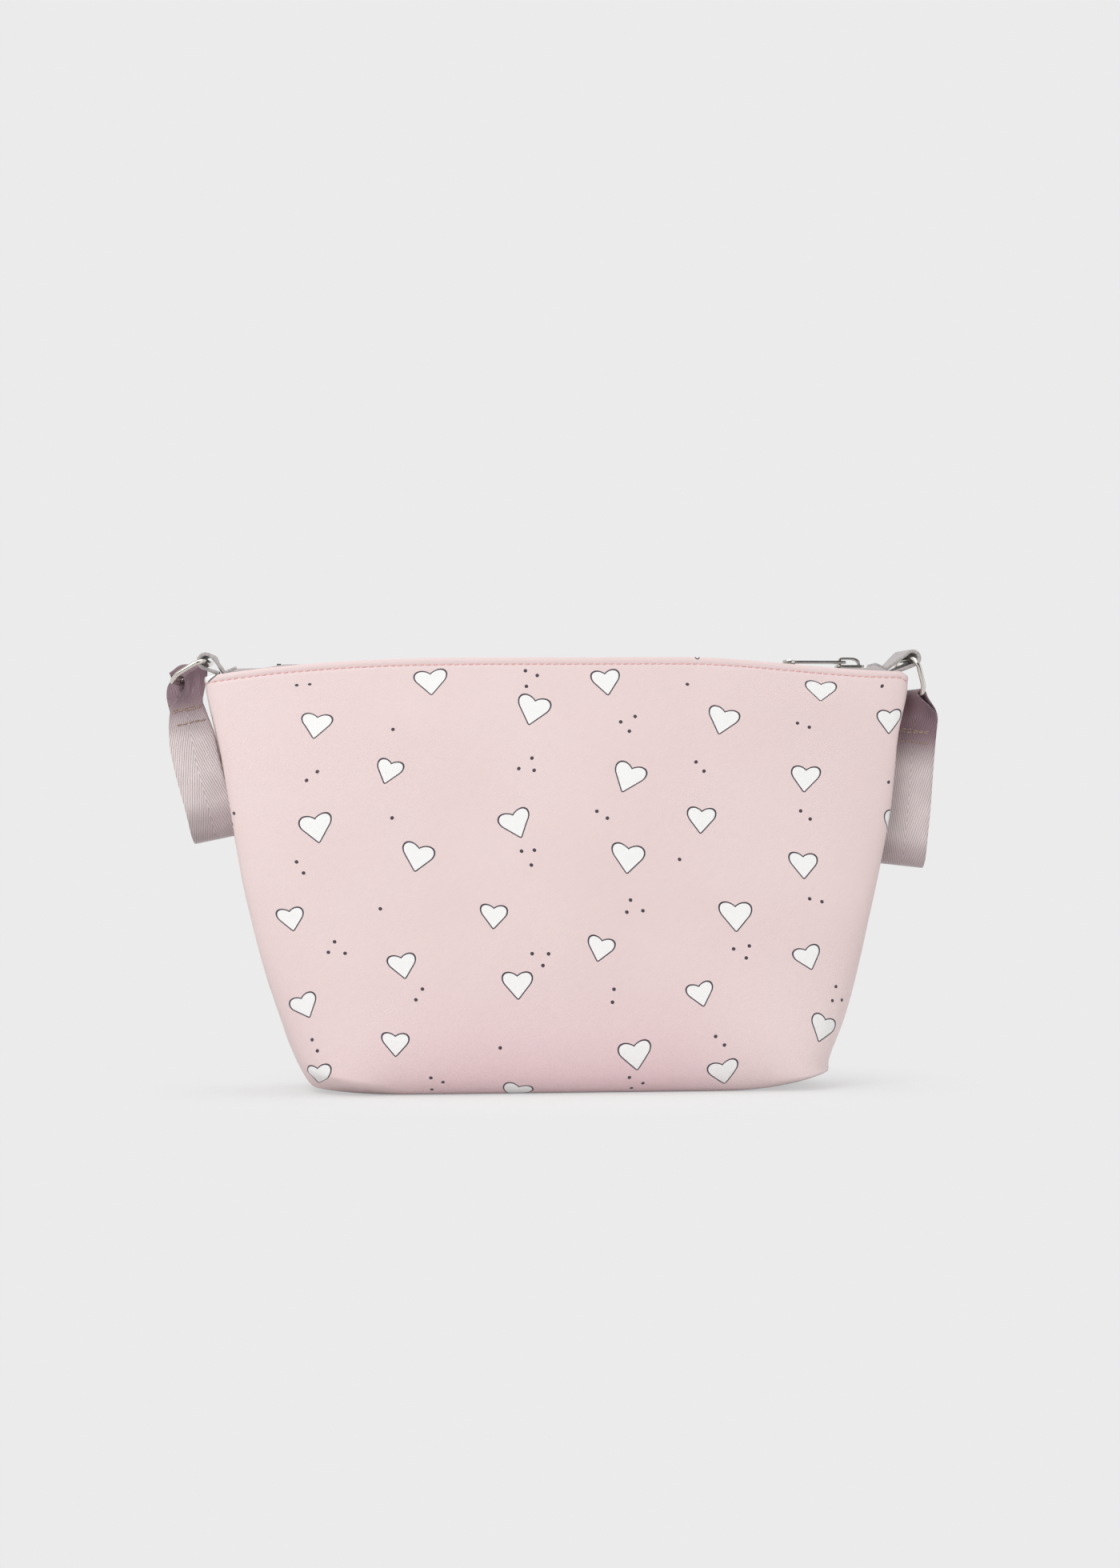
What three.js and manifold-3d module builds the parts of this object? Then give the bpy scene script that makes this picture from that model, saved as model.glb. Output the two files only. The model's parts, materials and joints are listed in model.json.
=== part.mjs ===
// A soft zipped toiletry bag with boxed corners, a ring at each end of the zip and a webbing loop on each.
// Millimetres, +Z up, -Y to the front, origin in the middle of the base.
import * as THREE from 'three';
import { mergeVertices } from 'three/addons/utils/BufferGeometryUtils.js';
import ManifoldModule from 'manifold-3d';

// The bag's outer form
const RIM_WIDTH = 306; // across the top, corner to corner
const RIM_HEIGHT = 186.4; // top edge at the middle
const RIM_BOW = 7.4; // drop of the top edge from the middle to its corners
const RIM_BOW_EASE = 2.6; // how late that drop begins
const MOUTH_DEPTH = 28; // front to back at the top edge
const BASE_WIDTH = 224.5; // side to side just above the bottom fold
const BASE_DEPTH = 82; // front to back just above the bottom fold
const FLARE_EASE = 2.05; // how the sides curve outward on the way up
const BULGE_EASE = 1.3; // how full the front and back are
const RIM_SQUARENESS = 8; // exponent of the rounded outline at the top
const BASE_SQUARENESS = 4.5; // the same at the base
const FOLD_HEIGHT = 26; // soft fold from wall to base
const FOLD_DEPTH = 16; // how far that fold comes in at front and back
const FOLD_WIDTH = 4; // how far it comes in at the sides
const GUSSET_DIP = 11.5; // how far the middle of each side sinks in
const GUSSET_SPREAD = 0.6; // how wide that hollow is, as a share of the half depth
const CORNER_LIFT = 8; // how far the base corners rise off the table
const BASE_FLAT = 70; // half length of the base that lies flat
const LIFT_REACH = 40; // length over which a base corner rises
const LIFT_HEIGHT = 70; // height at which the lift has faded out
const SPINE_SHARE = 0.86; // length of the bottom seam as a share of the base

// Sheets and the gaps between them
const PANEL_THICKNESS = 1.2;
const TAPE_THICKNESS = 0.7;
const LINING_THICKNESS = 0.5;
const GAP = 0.3; // between sheets and pieces that touch
const SHEET_GAP = 0.6; // between panel, tape and lining, measured front to back
const SEAM_GAP = 0.3; // between front and back halves at the seams
const LINING_LAP = 4.848; // lining's edge above the lower edge of the sewn tape

// The zip
const ZIP_DROP = 4.1; // tape's mid plane below the middle of the top edge
const ZIP_HEIGHT = RIM_HEIGHT - ZIP_DROP;
const TAPE_INSET = 7; // tape's ends from the top corners
const TAPE_HALF_LENGTH = RIM_WIDTH / 2 - TAPE_INSET;
const TAPE_EDGE = 2.6; // inner edge of each tape from the middle line
const TAPE_SKIRT = 11; // sewn part of the tape, hanging inside the top edge
const TAPE_END_DROP = 3.2; // how far the tape ends fall toward the corners
const TAPE_DROP_LENGTH = 7.4; // length of each end that falls
const TAPE_DROP_START = TAPE_HALF_LENGTH - TAPE_DROP_LENGTH;
const TEETH_PITCH = 3.6;
const TEETH_HEIGHT = 2.2;
const TEETH_SPINE_OUT = 2.3; // spine's outer edge from the middle line
const TEETH_SPINE_IN = 1.45; // spine's inner edge
const TOOTH_NECK = 0.45; // half width at the spine
const TOOTH_HEAD = 0.62; // half width at the head
const TOOTH_HEAD_AT = 0.4; // head's place past the middle line
const TOOTH_TIP = 1.1; // tip's reach past the middle line
const TOOTH_TIP_HALF = 0.4;
const STOP_LENGTH = 1.8;
const STOP_HEIGHT = 2.4;
const STOP_GRIP = 1.6; // how far a stop reaches over the tape
const STOP_CLEARANCE = 0.7; // slider from the top stops when the zip is shut
const STOP_INSET = 8.9; // middle of the top stops from the tape's end
const TOP_STOP_AT = TAPE_HALF_LENGTH - STOP_INSET;

// The slider and its pull
const SLIDER_HALF = 6;
const SLIDER_AT = TOP_STOP_AT - STOP_LENGTH / 2 - STOP_CLEARANCE - SLIDER_HALF; // its middle, zip shut
const SLIDER_ROUND = 1.4; // corner radius of its plates
const SLIDER_SHOULDER = 2.4; // length of the wide mouth
const SLIDER_NARROW = 3.7; // half width at the chain's end
const SLIDER_WIDE = 4.6; // half width at the mouth
const PLATE_THICKNESS = 1;
const CHAIN_CLEARANCE = 0.35; // above and below the teeth
const FLANGE_IN = 2.95; // inner face of the side flanges
const FLANGE_FLARE = 0.6; // how far that face opens toward the mouth
const TAPE_CLEARANCE = 0.4; // between the flanges and the tape
const CROWN_HALF = 4.8;
const CROWN_RISE = 3.45; // crown's top over the upper plate
const CROWN_THICKNESS = 1;
const CROWN_WIDTH = 2.4;
const CROWN_SLOPE = 4.6; // length of its rounded front end
const PULL_PIVOT_BACK = 2.5; // pivot's distance from the slider's middle
const PULL_PIVOT_RISE = 1.25; // pivot's height over the upper plate
const PULL_THICKNESS = 1.2;
const PULL_LENGTH = 24.4; // pivot to the middle of the round end
const PULL_END_RADIUS = 2.9;
const PULL_END_HOLE = 1.35;
const PULL_END_THICKNESS = 1.9;
const PULL_EYE_HALF = 3; // half width at the pivot
const PULL_WAIST_HALF = 2.1; // half width before the round end
const PULL_BAR = 1.3; // width of the bar that turns under the crown
const PULL_SLOT = 3.9; // length of the slot round the crown's leg
const PULL_SLOT_HALF = 1.7;
const PULL_SHOULDER = 5.4; // where the wide end begins to taper
const PULL_TAPER = 12; // where the taper bends

// The chain's length and the part of the tape that swings open
const CHAIN_INSET = 26.4; // chain's shut end from the tape's left end
const CHAIN_CLEARANCE_END = 1.5; // chain's other end from the slider
const TEETH_LEFT = CHAIN_INSET - TAPE_HALF_LENGTH;
const TEETH_RIGHT = SLIDER_AT - SLIDER_HALF - CHAIN_CLEARANCE_END;
const TEETH_COUNT = Math.floor((TEETH_RIGHT - TEETH_LEFT) / TEETH_PITCH);
const BOTTOM_STOP_GAP = 0.9; // bottom stop from the chain
const BOTTOM_STOP_AT = TEETH_LEFT - BOTTOM_STOP_GAP - STOP_LENGTH / 2;
const LEAF_CLEARANCE_LEFT = 2.5; // swinging tape from the slider at the bottom stop
const LEAF_CLEARANCE_RIGHT = 1.7; // swinging tape from the pull's end
const LEAF_LEFT = BOTTOM_STOP_AT + STOP_LENGTH / 2 + 2 * SLIDER_HALF + LEAF_CLEARANCE_LEFT;
const PULL_TIP = SLIDER_AT - PULL_PIVOT_BACK - PULL_LENGTH - PULL_END_RADIUS;
const LEAF_RIGHT = PULL_TIP - LEAF_CLEARANCE_RIGHT;

// Tabs, rings and straps at the ends
const END_TURN = 8.5; // degrees that loops, rings and straps are turned, near edge outward
const TAB_WIDTH = 16;
const TAB_THICKNESS = 1.2;
const TAB_LAP = 6.5; // how far the tab lies on the tape's end
const TAB_TIP_FROM_TAPE = new THREE.Vector2(-0.4, -1.5); // where its loop begins, from the tape's end
const LEFT_EYE_FROM_TAPE = new THREE.Vector2(5.5, 1.9); // middle of its loop
const RIGHT_EYE_FROM_TAPE = new THREE.Vector2(9.3, 5.5);
const TAB_EYE_RADIUS = 2.4;
const WIRE_RADIUS = 1.25;
const LEFT_RING_SEAT = new THREE.Vector2(0.2, -0.1); // ring's bar from the loop's middle
const RIGHT_RING_SEAT = new THREE.Vector2(-0.8, -0.4);
const RING_REACH = 16.3; // bar to bar
const RING_HALF = 12.2; // half the bar's length, at the wire's middle
const RING_CORNER = 2.6;
const LEFT_RING_ANGLE = 32; // degrees below level
const RIGHT_RING_ANGLE = 76;
const STRAP_WIDTH = 20;
const STRAP_THICKNESS = 1.1;
const LEFT_STRAP_LENGTH = 72; // ring's wire to the end of the loop
const RIGHT_STRAP_LENGTH = 75;
const STRAP_SEWN_FROM = 12; // where the two layers meet
const STRAP_SEWN_TO = 19;
const STRAP_BELLY = 6; // half distance of the layers where the loop is widest
const STRAP_BELLY_AT = 55;
const LEFT_STRAP_TILT = 10.2; // degrees, lower end toward the bag
const RIGHT_STRAP_TILT = 5.5;
const LEFT_STRAP_SEAT = 7.9; // middle of the left strap along the ring's back wire
const LEFT_STRAP_PINCH = 0.56; // share of its width where it is gathered on that wire
const LEFT_STRAP_SPREAD = 32; // length over which it spreads to its full width
const LEFT_STRAP_LEVEL = 14; // length over which it leaves the slope of the wire
const LEFT_STRAP_SHIFT = 8.2; // how far it moves outward below the ring
const LEFT_STRAP_SHIFT_END = 9; // length over which it does
const LEFT_STRAP_RETURN = 1.8; // how much of that it loses again lower down
const LEFT_STRAP_FORWARD = 10; // how far it comes forward from the back wire
const LEFT_STRAP_FORWARD_END = 22; // length over which it does
const RIGHT_STRAP_TURN = 14; // degrees of turn left in the right strap below its twist
const RIGHT_STRAP_TWIST = 17; // length over which it turns from the ring
const RIGHT_STRAP_SHIFT = 2.6; // its outward shift over that length

// Fineness of the mesh
const COLUMNS = 34;
const LINING_COLUMNS = 24;
const WALL_LEVELS = [1, 0.975, 0.945, 0.9, 0.82, 0.72, 0.61, 0.5, 0.39, 0.29, 0.2, 0.135, 0.09, 0.05, 0.02, 0];
const LEVEL_MARGIN = 0.01; // no row of points lies closer than this under the top one
const BASE_STEPS = [0.3, 0.65, 1];

const wasm = await ManifoldModule();
wasm.setup();
const { Manifold, Mesh } = wasm;

const RADIANS = Math.PI / 180;

const TAPE_END = new THREE.Vector2(TAPE_HALF_LENGTH, ZIP_HEIGHT);
const TAB_START = TAPE_HALF_LENGTH - TAB_LAP;
const TAB_TIP = TAPE_END.clone().add(TAB_TIP_FROM_TAPE);
const LEFT_EYE = TAPE_END.clone().add(LEFT_EYE_FROM_TAPE);
const RIGHT_EYE = TAPE_END.clone().add(RIGHT_EYE_FROM_TAPE);
const LEFT_BAR = LEFT_EYE.clone().add(LEFT_RING_SEAT);
const RIGHT_BAR = RIGHT_EYE.clone().add(RIGHT_RING_SEAT);

function smooth(from, to, value) {
  const share = Math.min(1, Math.max(0, (value - from) / (to - from)));
  return share * share * (3 - 2 * share);
}

function tidy(geometry) {
  const bare = new THREE.BufferGeometry();
  bare.setAttribute('position', geometry.getAttribute('position'));
  if (geometry.index) {
    bare.setIndex(geometry.index);
  }
  return mergeVertices(bare, 1e-4);
}

function toManifold(geometry) {
  const bare = tidy(geometry);
  const vertProperties = new Float32Array(bare.getAttribute('position').array);
  const triVerts = Uint32Array.from(bare.index.array);
  return new Manifold(new Mesh({ numProp: 3, vertProperties, triVerts }));
}

function fromManifold(solid) {
  const mesh = solid.getMesh();
  const geometry = new THREE.BufferGeometry();
  geometry.setAttribute('position', new THREE.BufferAttribute(new Float32Array(mesh.vertProperties), 3));
  geometry.setIndex([...mesh.triVerts]);
  return geometry;
}

function join(geometries) {
  return fromManifold(geometries.map(toManifold).reduce((sum, next) => sum.add(next)));
}

// Mirrors a geometry and turns its triangles round so that they still face outward.
function mirrored(geometry, axis) {
  const copy = tidy(geometry);
  const scale = new THREE.Vector3(1, 1, 1);
  scale[axis] = -1;
  copy.scale(scale.x, scale.y, scale.z);
  const index = [...copy.index.array];
  for (let i = 0; i < index.length; i += 3) {
    const second = index[i + 1];
    index[i + 1] = index[i + 2];
    index[i + 2] = second;
  }
  copy.setIndex(index);
  return copy;
}

// Closes two matching grids of points into one solid sheet. With ring set, the rows run round and meet.
function sheetSolid(outer, inner, ring = false) {
  const rows = outer.length;
  const columns = outer[0].length;
  const positions = [];
  const index = [];
  for (const grid of [outer, inner]) {
    for (const row of grid) {
      for (const point of row) {
        positions.push(point.x, point.y, point.z);
      }
    }
  }
  const p = (i, j) => (i % rows) * columns + j;
  const q = (i, j) => rows * columns + p(i, j);
  const steps = ring ? rows : rows - 1;
  for (let i = 0; i < steps; i += 1) {
    for (let j = 0; j < columns - 1; j += 1) {
      index.push(p(i, j), p(i + 1, j), p(i, j + 1), p(i, j + 1), p(i + 1, j), p(i + 1, j + 1));
      index.push(q(i, j), q(i, j + 1), q(i + 1, j), q(i, j + 1), q(i + 1, j + 1), q(i + 1, j));
    }
    const last = columns - 1;
    index.push(p(i + 1, 0), p(i, 0), q(i, 0), p(i + 1, 0), q(i, 0), q(i + 1, 0));
    index.push(p(i, last), p(i + 1, last), q(i + 1, last), p(i, last), q(i + 1, last), q(i, last));
  }
  if (!ring) {
    const last = rows - 1;
    for (let j = 0; j < columns - 1; j += 1) {
      index.push(p(0, j), p(0, j + 1), q(0, j + 1), p(0, j), q(0, j + 1), q(0, j));
      index.push(p(last, j + 1), p(last, j), q(last, j), p(last, j + 1), q(last, j), q(last, j + 1));
    }
  }
  const geometry = new THREE.BufferGeometry();
  geometry.setAttribute('position', new THREE.Float32BufferAttribute(positions, 3));
  geometry.setIndex(index);
  return geometry;
}

function rimHeight(x) {
  return RIM_HEIGHT - RIM_BOW * (Math.abs(x) / (RIM_WIDTH / 2)) ** RIM_BOW_EASE;
}

// Half sizes of the bag's outline at a share of its height, 1 at the top edge, on a layer inside the outer surface.
function level(share, inside = 0) {
  const up = Math.min(share, 1);
  const fold = Math.max(0, 1 - (share * RIM_HEIGHT) / FOLD_HEIGHT);
  const tuck = 1 - Math.sqrt(1 - fold * fold);
  const flare = 1 - (1 - up) ** FLARE_EASE;
  const width = BASE_WIDTH / 2 + ((RIM_WIDTH - BASE_WIDTH) / 2) * flare - FOLD_WIDTH * tuck;
  const full = MOUTH_DEPTH / 2 + ((BASE_DEPTH - MOUTH_DEPTH) / 2) * (1 - share ** BULGE_EASE);
  return {
    width: width - inside * (1 - tuck),
    depth: full - FOLD_DEPTH * tuck - inside * (1 - tuck),
    rise: inside * fold,
    square: BASE_SQUARENESS + (RIM_SQUARENESS - BASE_SQUARENESS) * up * up,
    dip: GUSSET_DIP * smooth(0.05, 0.45, up) * (1 - smooth(0.8, 1, up)),
  };
}

// Front half of the outline at one height, left seam to right seam, closer set where it bends.
function outline(share, columns, inside) {
  const { width, depth, square, dip } = level(share, inside);
  const fine = 1600;
  const points = [];
  for (let i = 0; i <= fine; i += 1) {
    const angle = Math.PI + (Math.PI * i) / fine;
    const c = Math.cos(angle);
    const s = Math.sin(angle);
    const radius = (Math.abs(c / width) ** square + Math.abs(s / depth) ** square) ** (-1 / square);
    const y = radius * s;
    const x = radius * c;
    const sunk = dip * Math.exp(-((y / (GUSSET_SPREAD * depth)) ** 2)) * (x / width) ** 4;
    points.push(new THREE.Vector2(x - Math.sign(x) * sunk, y));
  }
  const reach = [0];
  let heading = points[1].clone().sub(points[0]).angle();
  for (let i = 1; i <= fine; i += 1) {
    const step = points[i].clone().sub(points[i - 1]);
    const turn = Math.abs(Math.atan2(Math.sin(step.angle() - heading), Math.cos(step.angle() - heading)));
    heading = step.angle();
    reach.push(reach[i - 1] + step.length() + 40 * turn);
  }
  const result = [];
  let k = 0;
  for (let j = 0; j <= columns; j += 1) {
    const wanted = (reach[fine] * j) / columns;
    while (k < fine - 1 && reach[k + 1] < wanted) {
      k += 1;
    }
    const part = (wanted - reach[k]) / (reach[k + 1] - reach[k]);
    const point = points[k].clone().lerp(points[k + 1], Math.min(1, Math.max(0, part)));
    point.y = -SEAM_GAP / 2 + point.y * (1 - SEAM_GAP / 2 / depth);
    result.push(point);
  }
  return result;
}

function cornerLift(x, z) {
  const out = Math.max(0, (Math.abs(x) - BASE_FLAT) / LIFT_REACH);
  const low = Math.max(0, 1 - z / LIFT_HEIGHT);
  return CORNER_LIFT * out * out * low * low;
}

// Points of one layer of the bag's front half: wall rows from the top edge down, then base rows to the seam.
function bagRows(top, inside, columns) {
  const rows = [];
  const lower = WALL_LEVELS.filter((value) => value < top - LEVEL_MARGIN);
  for (const share of [top, ...lower]) {
    const { rise } = level(share, inside);
    rows.push(outline(share, columns, inside).map(({ x, y }) => {
      const z = share * rimHeight(x);
      return new THREE.Vector3(x, y, z + rise + cornerLift(x, z));
    }));
  }
  const edge = rows[rows.length - 1];
  for (const step of BASE_STEPS) {
    rows.push(edge.map((point) => {
      const x = point.x * (1 - (1 - SPINE_SHARE) * step);
      const y = point.y + (-SEAM_GAP / 2 - point.y) * step;
      return new THREE.Vector3(x, y, inside + cornerLift(x, 0));
    }));
  }
  return rows;
}

// Depth of the bag's outer surface at a point of its upper wall.
function frontFace(x, z) {
  const { width, depth, square } = level(z / rimHeight(x));
  return -depth * (1 - Math.min(1, Math.abs(x) / width) ** square) ** (1 / square);
}

function tapeHeight(x) {
  const out = (Math.abs(x) - TAPE_DROP_START) / (TAPE_HALF_LENGTH - TAPE_DROP_START);
  return ZIP_HEIGHT - TAPE_END_DROP * Math.max(0, out);
}

function span(from, to, count) {
  return Array.from({ length: count + 1 }, (unused, i) => from + ((to - from) * i) / count);
}

const SKIRT_OUT = PANEL_THICKNESS + SHEET_GAP; // sewn tape's outer face behind the bag's outer surface
const SKIRT_IN = SKIRT_OUT + TAPE_THICKNESS;
const LINING_OUT = SKIRT_IN + SHEET_GAP;

function panelGeometry() {
  return sheetSolid(bagRows(1, 0, COLUMNS), bagRows(1, PANEL_THICKNESS, COLUMNS));
}

function liningGeometry() {
  const top = (ZIP_HEIGHT - TAPE_SKIRT + LINING_LAP) / RIM_HEIGHT;
  const layer = (inside) => bagRows(top, inside, LINING_COLUMNS);
  return sheetSolid(layer(LINING_OUT), layer(LINING_OUT + LINING_THICKNESS));
}

// A flat strip of tape between two depths, front edge given by a function of x.
function tapeStrip(from, to, count, frontEdge) {
  const half = TAPE_THICKNESS / 2;
  const xs = span(from, to, count);
  const grid = (rise) => [-TAPE_EDGE, null].map((edge) => xs.map((x) => {
    const y = edge === null ? frontEdge(x) : edge;
    return new THREE.Vector3(x, y, tapeHeight(x) + rise);
  }));
  return sheetSolid(grid(half), grid(-half));
}

function tapeGeometry() {
  const xs = span(-TAPE_HALF_LENGTH, TAPE_HALF_LENGTH, 36);
  const drops = [-0.55, 3, 7, TAPE_SKIRT];
  const wall = (depth) => drops.map((drop) => xs.map((x) => {
    const z = tapeHeight(x) - drop;
    return new THREE.Vector3(x, frontFace(x, z) + depth, z);
  }));
  const skirt = sheetSolid(wall(SKIRT_OUT), wall(SKIRT_IN));
  const middle = (x) => frontFace(x, tapeHeight(x)) + (SKIRT_OUT + SKIRT_IN) / 2;
  const left = tapeStrip(-TAPE_HALF_LENGTH, LEAF_LEFT - GAP, 6, middle);
  const right = tapeStrip(LEAF_RIGHT + GAP, TAPE_HALF_LENGTH, 6, middle);
  return join([skirt, left, right]);
}

function leafGeometry() {
  return tapeStrip(LEAF_LEFT, LEAF_RIGHT, 16, (x) => frontFace(x, ZIP_HEIGHT) + SKIRT_IN + GAP);
}

// One side of the zip's chain: a spine along the tape's edge with headed teeth that pass the middle line.
function teethGeometry(phase) {
  const from = TEETH_LEFT;
  const to = TEETH_LEFT + TEETH_COUNT * TEETH_PITCH;
  const shape = new THREE.Shape();
  shape.moveTo(from, -TEETH_SPINE_OUT);
  shape.lineTo(to, -TEETH_SPINE_OUT);
  shape.lineTo(to, -TEETH_SPINE_IN);
  for (let i = TEETH_COUNT - 1; i >= 0; i -= 1) {
    const x = from + (i + phase) * TEETH_PITCH;
    shape.lineTo(x + TOOTH_NECK, -TEETH_SPINE_IN);
    shape.lineTo(x + TOOTH_HEAD, TOOTH_HEAD_AT);
    shape.lineTo(x + TOOTH_TIP_HALF, TOOTH_TIP);
    shape.lineTo(x - TOOTH_TIP_HALF, TOOTH_TIP);
    shape.lineTo(x - TOOTH_HEAD, TOOTH_HEAD_AT);
    shape.lineTo(x - TOOTH_NECK, -TEETH_SPINE_IN);
  }
  shape.lineTo(from, -TEETH_SPINE_IN);
  shape.closePath();
  const geometry = new THREE.ExtrudeGeometry(shape, { depth: TEETH_HEIGHT, bevelEnabled: false });
  geometry.translate(0, 0, ZIP_HEIGHT - TEETH_HEIGHT / 2);
  return geometry;
}

// A shape drawn in X and Z, drawn out along Y and centred on it.
function alongY(shape, width, curveSegments = 12) {
  const geometry = new THREE.ExtrudeGeometry(shape, { depth: width, bevelEnabled: false, curveSegments });
  geometry.rotateX(Math.PI / 2);
  geometry.translate(0, width / 2, 0);
  return geometry;
}

// A shape drawn in X and Y, drawn up from a height.
function upFrom(shape, height, thickness, curveSegments = 12) {
  const geometry = new THREE.ExtrudeGeometry(shape, { depth: thickness, bevelEnabled: false, curveSegments });
  geometry.translate(0, 0, height);
  return geometry;
}

function polygon(points) {
  return new THREE.Shape(points.map(([x, y]) => new THREE.Vector2(x, y)));
}

// A stop pressed over the tape's edge, with a slot for the tape.
function stopProfile() {
  const slot = TAPE_THICKNESS / 2 + GAP;
  const half = STOP_HEIGHT / 2;
  const back = -TAPE_EDGE - STOP_GRIP;
  const floor = -TAPE_EDGE + GAP;
  return [[back, -half], [-TEETH_SPINE_IN, -half], [-TEETH_SPINE_IN, half], [back, half],
    [back, slot], [floor, slot], [floor, -slot], [back, -slot]];
}

function bottomStopProfile() {
  const near = stopProfile();
  const slotted = [near[3], near[4], near[5], near[6], near[7], near[0]];
  const far = slotted.map(([y, z]) => [-y, z]).reverse();
  return [...slotted, ...far];
}

// A profile in Y and Z drawn out along X and centred at a place.
function alongX(points, length, at) {
  const geometry = new THREE.ExtrudeGeometry(polygon(points), { depth: length, bevelEnabled: false });
  geometry.applyMatrix4(new THREE.Matrix4().set(
    0, 0, 1, at - length / 2,
    1, 0, 0, 0,
    0, 1, 0, ZIP_HEIGHT,
    0, 0, 0, 1,
  ));
  return geometry;
}

const PLATE_LOW = TEETH_HEIGHT / 2 + CHAIN_CLEARANCE; // inner face of each plate from the tape's mid plane
const PLATE_HIGH = PLATE_LOW + PLATE_THICKNESS;

function sliderPlan() {
  const shape = new THREE.Shape();
  const round = SLIDER_ROUND;
  const shoulder = SLIDER_HALF - SLIDER_SHOULDER;
  shape.moveTo(-SLIDER_HALF + round, -SLIDER_NARROW);
  shape.lineTo(0, -SLIDER_NARROW);
  shape.lineTo(shoulder, -SLIDER_WIDE);
  shape.lineTo(SLIDER_HALF - round, -SLIDER_WIDE);
  shape.quadraticCurveTo(SLIDER_HALF, -SLIDER_WIDE, SLIDER_HALF, -SLIDER_WIDE + round);
  shape.lineTo(SLIDER_HALF, SLIDER_WIDE - round);
  shape.quadraticCurveTo(SLIDER_HALF, SLIDER_WIDE, SLIDER_HALF - round, SLIDER_WIDE);
  shape.lineTo(shoulder, SLIDER_WIDE);
  shape.lineTo(0, SLIDER_NARROW);
  shape.lineTo(-SLIDER_HALF + round, SLIDER_NARROW);
  shape.quadraticCurveTo(-SLIDER_HALF, SLIDER_NARROW, -SLIDER_HALF, SLIDER_NARROW - round);
  shape.lineTo(-SLIDER_HALF, -SLIDER_NARROW + round);
  shape.quadraticCurveTo(-SLIDER_HALF, -SLIDER_NARROW, -SLIDER_HALF + round, -SLIDER_NARROW);
  return shape;
}

function sliderGeometry() {
  const top = upFrom(sliderPlan(), PLATE_LOW, PLATE_THICKNESS, 4);
  const bottom = upFrom(sliderPlan(), -PLATE_HIGH, PLATE_THICKNESS, 4);
  const end = SLIDER_HALF - SLIDER_ROUND;
  const side = polygon([[-end, -SLIDER_NARROW], [0, -SLIDER_NARROW],
    [SLIDER_HALF - SLIDER_SHOULDER, -SLIDER_WIDE], [end, -SLIDER_WIDE],
    [end, -FLANGE_IN - FLANGE_FLARE], [0, -FLANGE_IN], [-end, -FLANGE_IN]]);
  const slot = TAPE_THICKNESS / 2 + TAPE_CLEARANCE;
  const flange = upFrom(side, slot, PLATE_LOW + 0.2 - slot);
  const flanges = [flange, mirrored(flange, 'y'), mirrored(flange, 'z'), mirrored(mirrored(flange, 'y'), 'z')];
  const wedge = polygon([[1.2, 0], [3, -0.9], [5.2, -0.5], [5.2, 0.5], [3, 0.9]]);
  const post = upFrom(wedge, -PLATE_LOW - 0.2, 2 * PLATE_LOW + 0.4);
  const arch = new THREE.Shape();
  const low = PLATE_HIGH - 0.3;
  const high = PLATE_HIGH + CROWN_RISE;
  const inside = CROWN_HALF - CROWN_THICKNESS;
  const under = high - CROWN_THICKNESS;
  arch.moveTo(-CROWN_HALF, low);
  arch.lineTo(-inside, low);
  arch.lineTo(-inside, under - 0.6);
  arch.quadraticCurveTo(-inside, under, -inside + 0.6, under);
  arch.lineTo(inside - CROWN_SLOPE, under);
  arch.quadraticCurveTo(inside, under, inside, low + 0.9);
  arch.lineTo(inside, low);
  arch.lineTo(CROWN_HALF, low);
  arch.lineTo(CROWN_HALF, low + 0.9);
  arch.quadraticCurveTo(CROWN_HALF, high, CROWN_HALF - CROWN_SLOPE, high);
  arch.lineTo(-CROWN_HALF + 1.8, high);
  arch.quadraticCurveTo(-CROWN_HALF, high, -CROWN_HALF, high - 1.6);
  arch.closePath();
  const geometry = join([top, bottom, ...flanges, post, alongY(arch, CROWN_WIDTH, 5)]);
  geometry.translate(SLIDER_AT, 0, ZIP_HEIGHT);
  return geometry;
}

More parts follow.
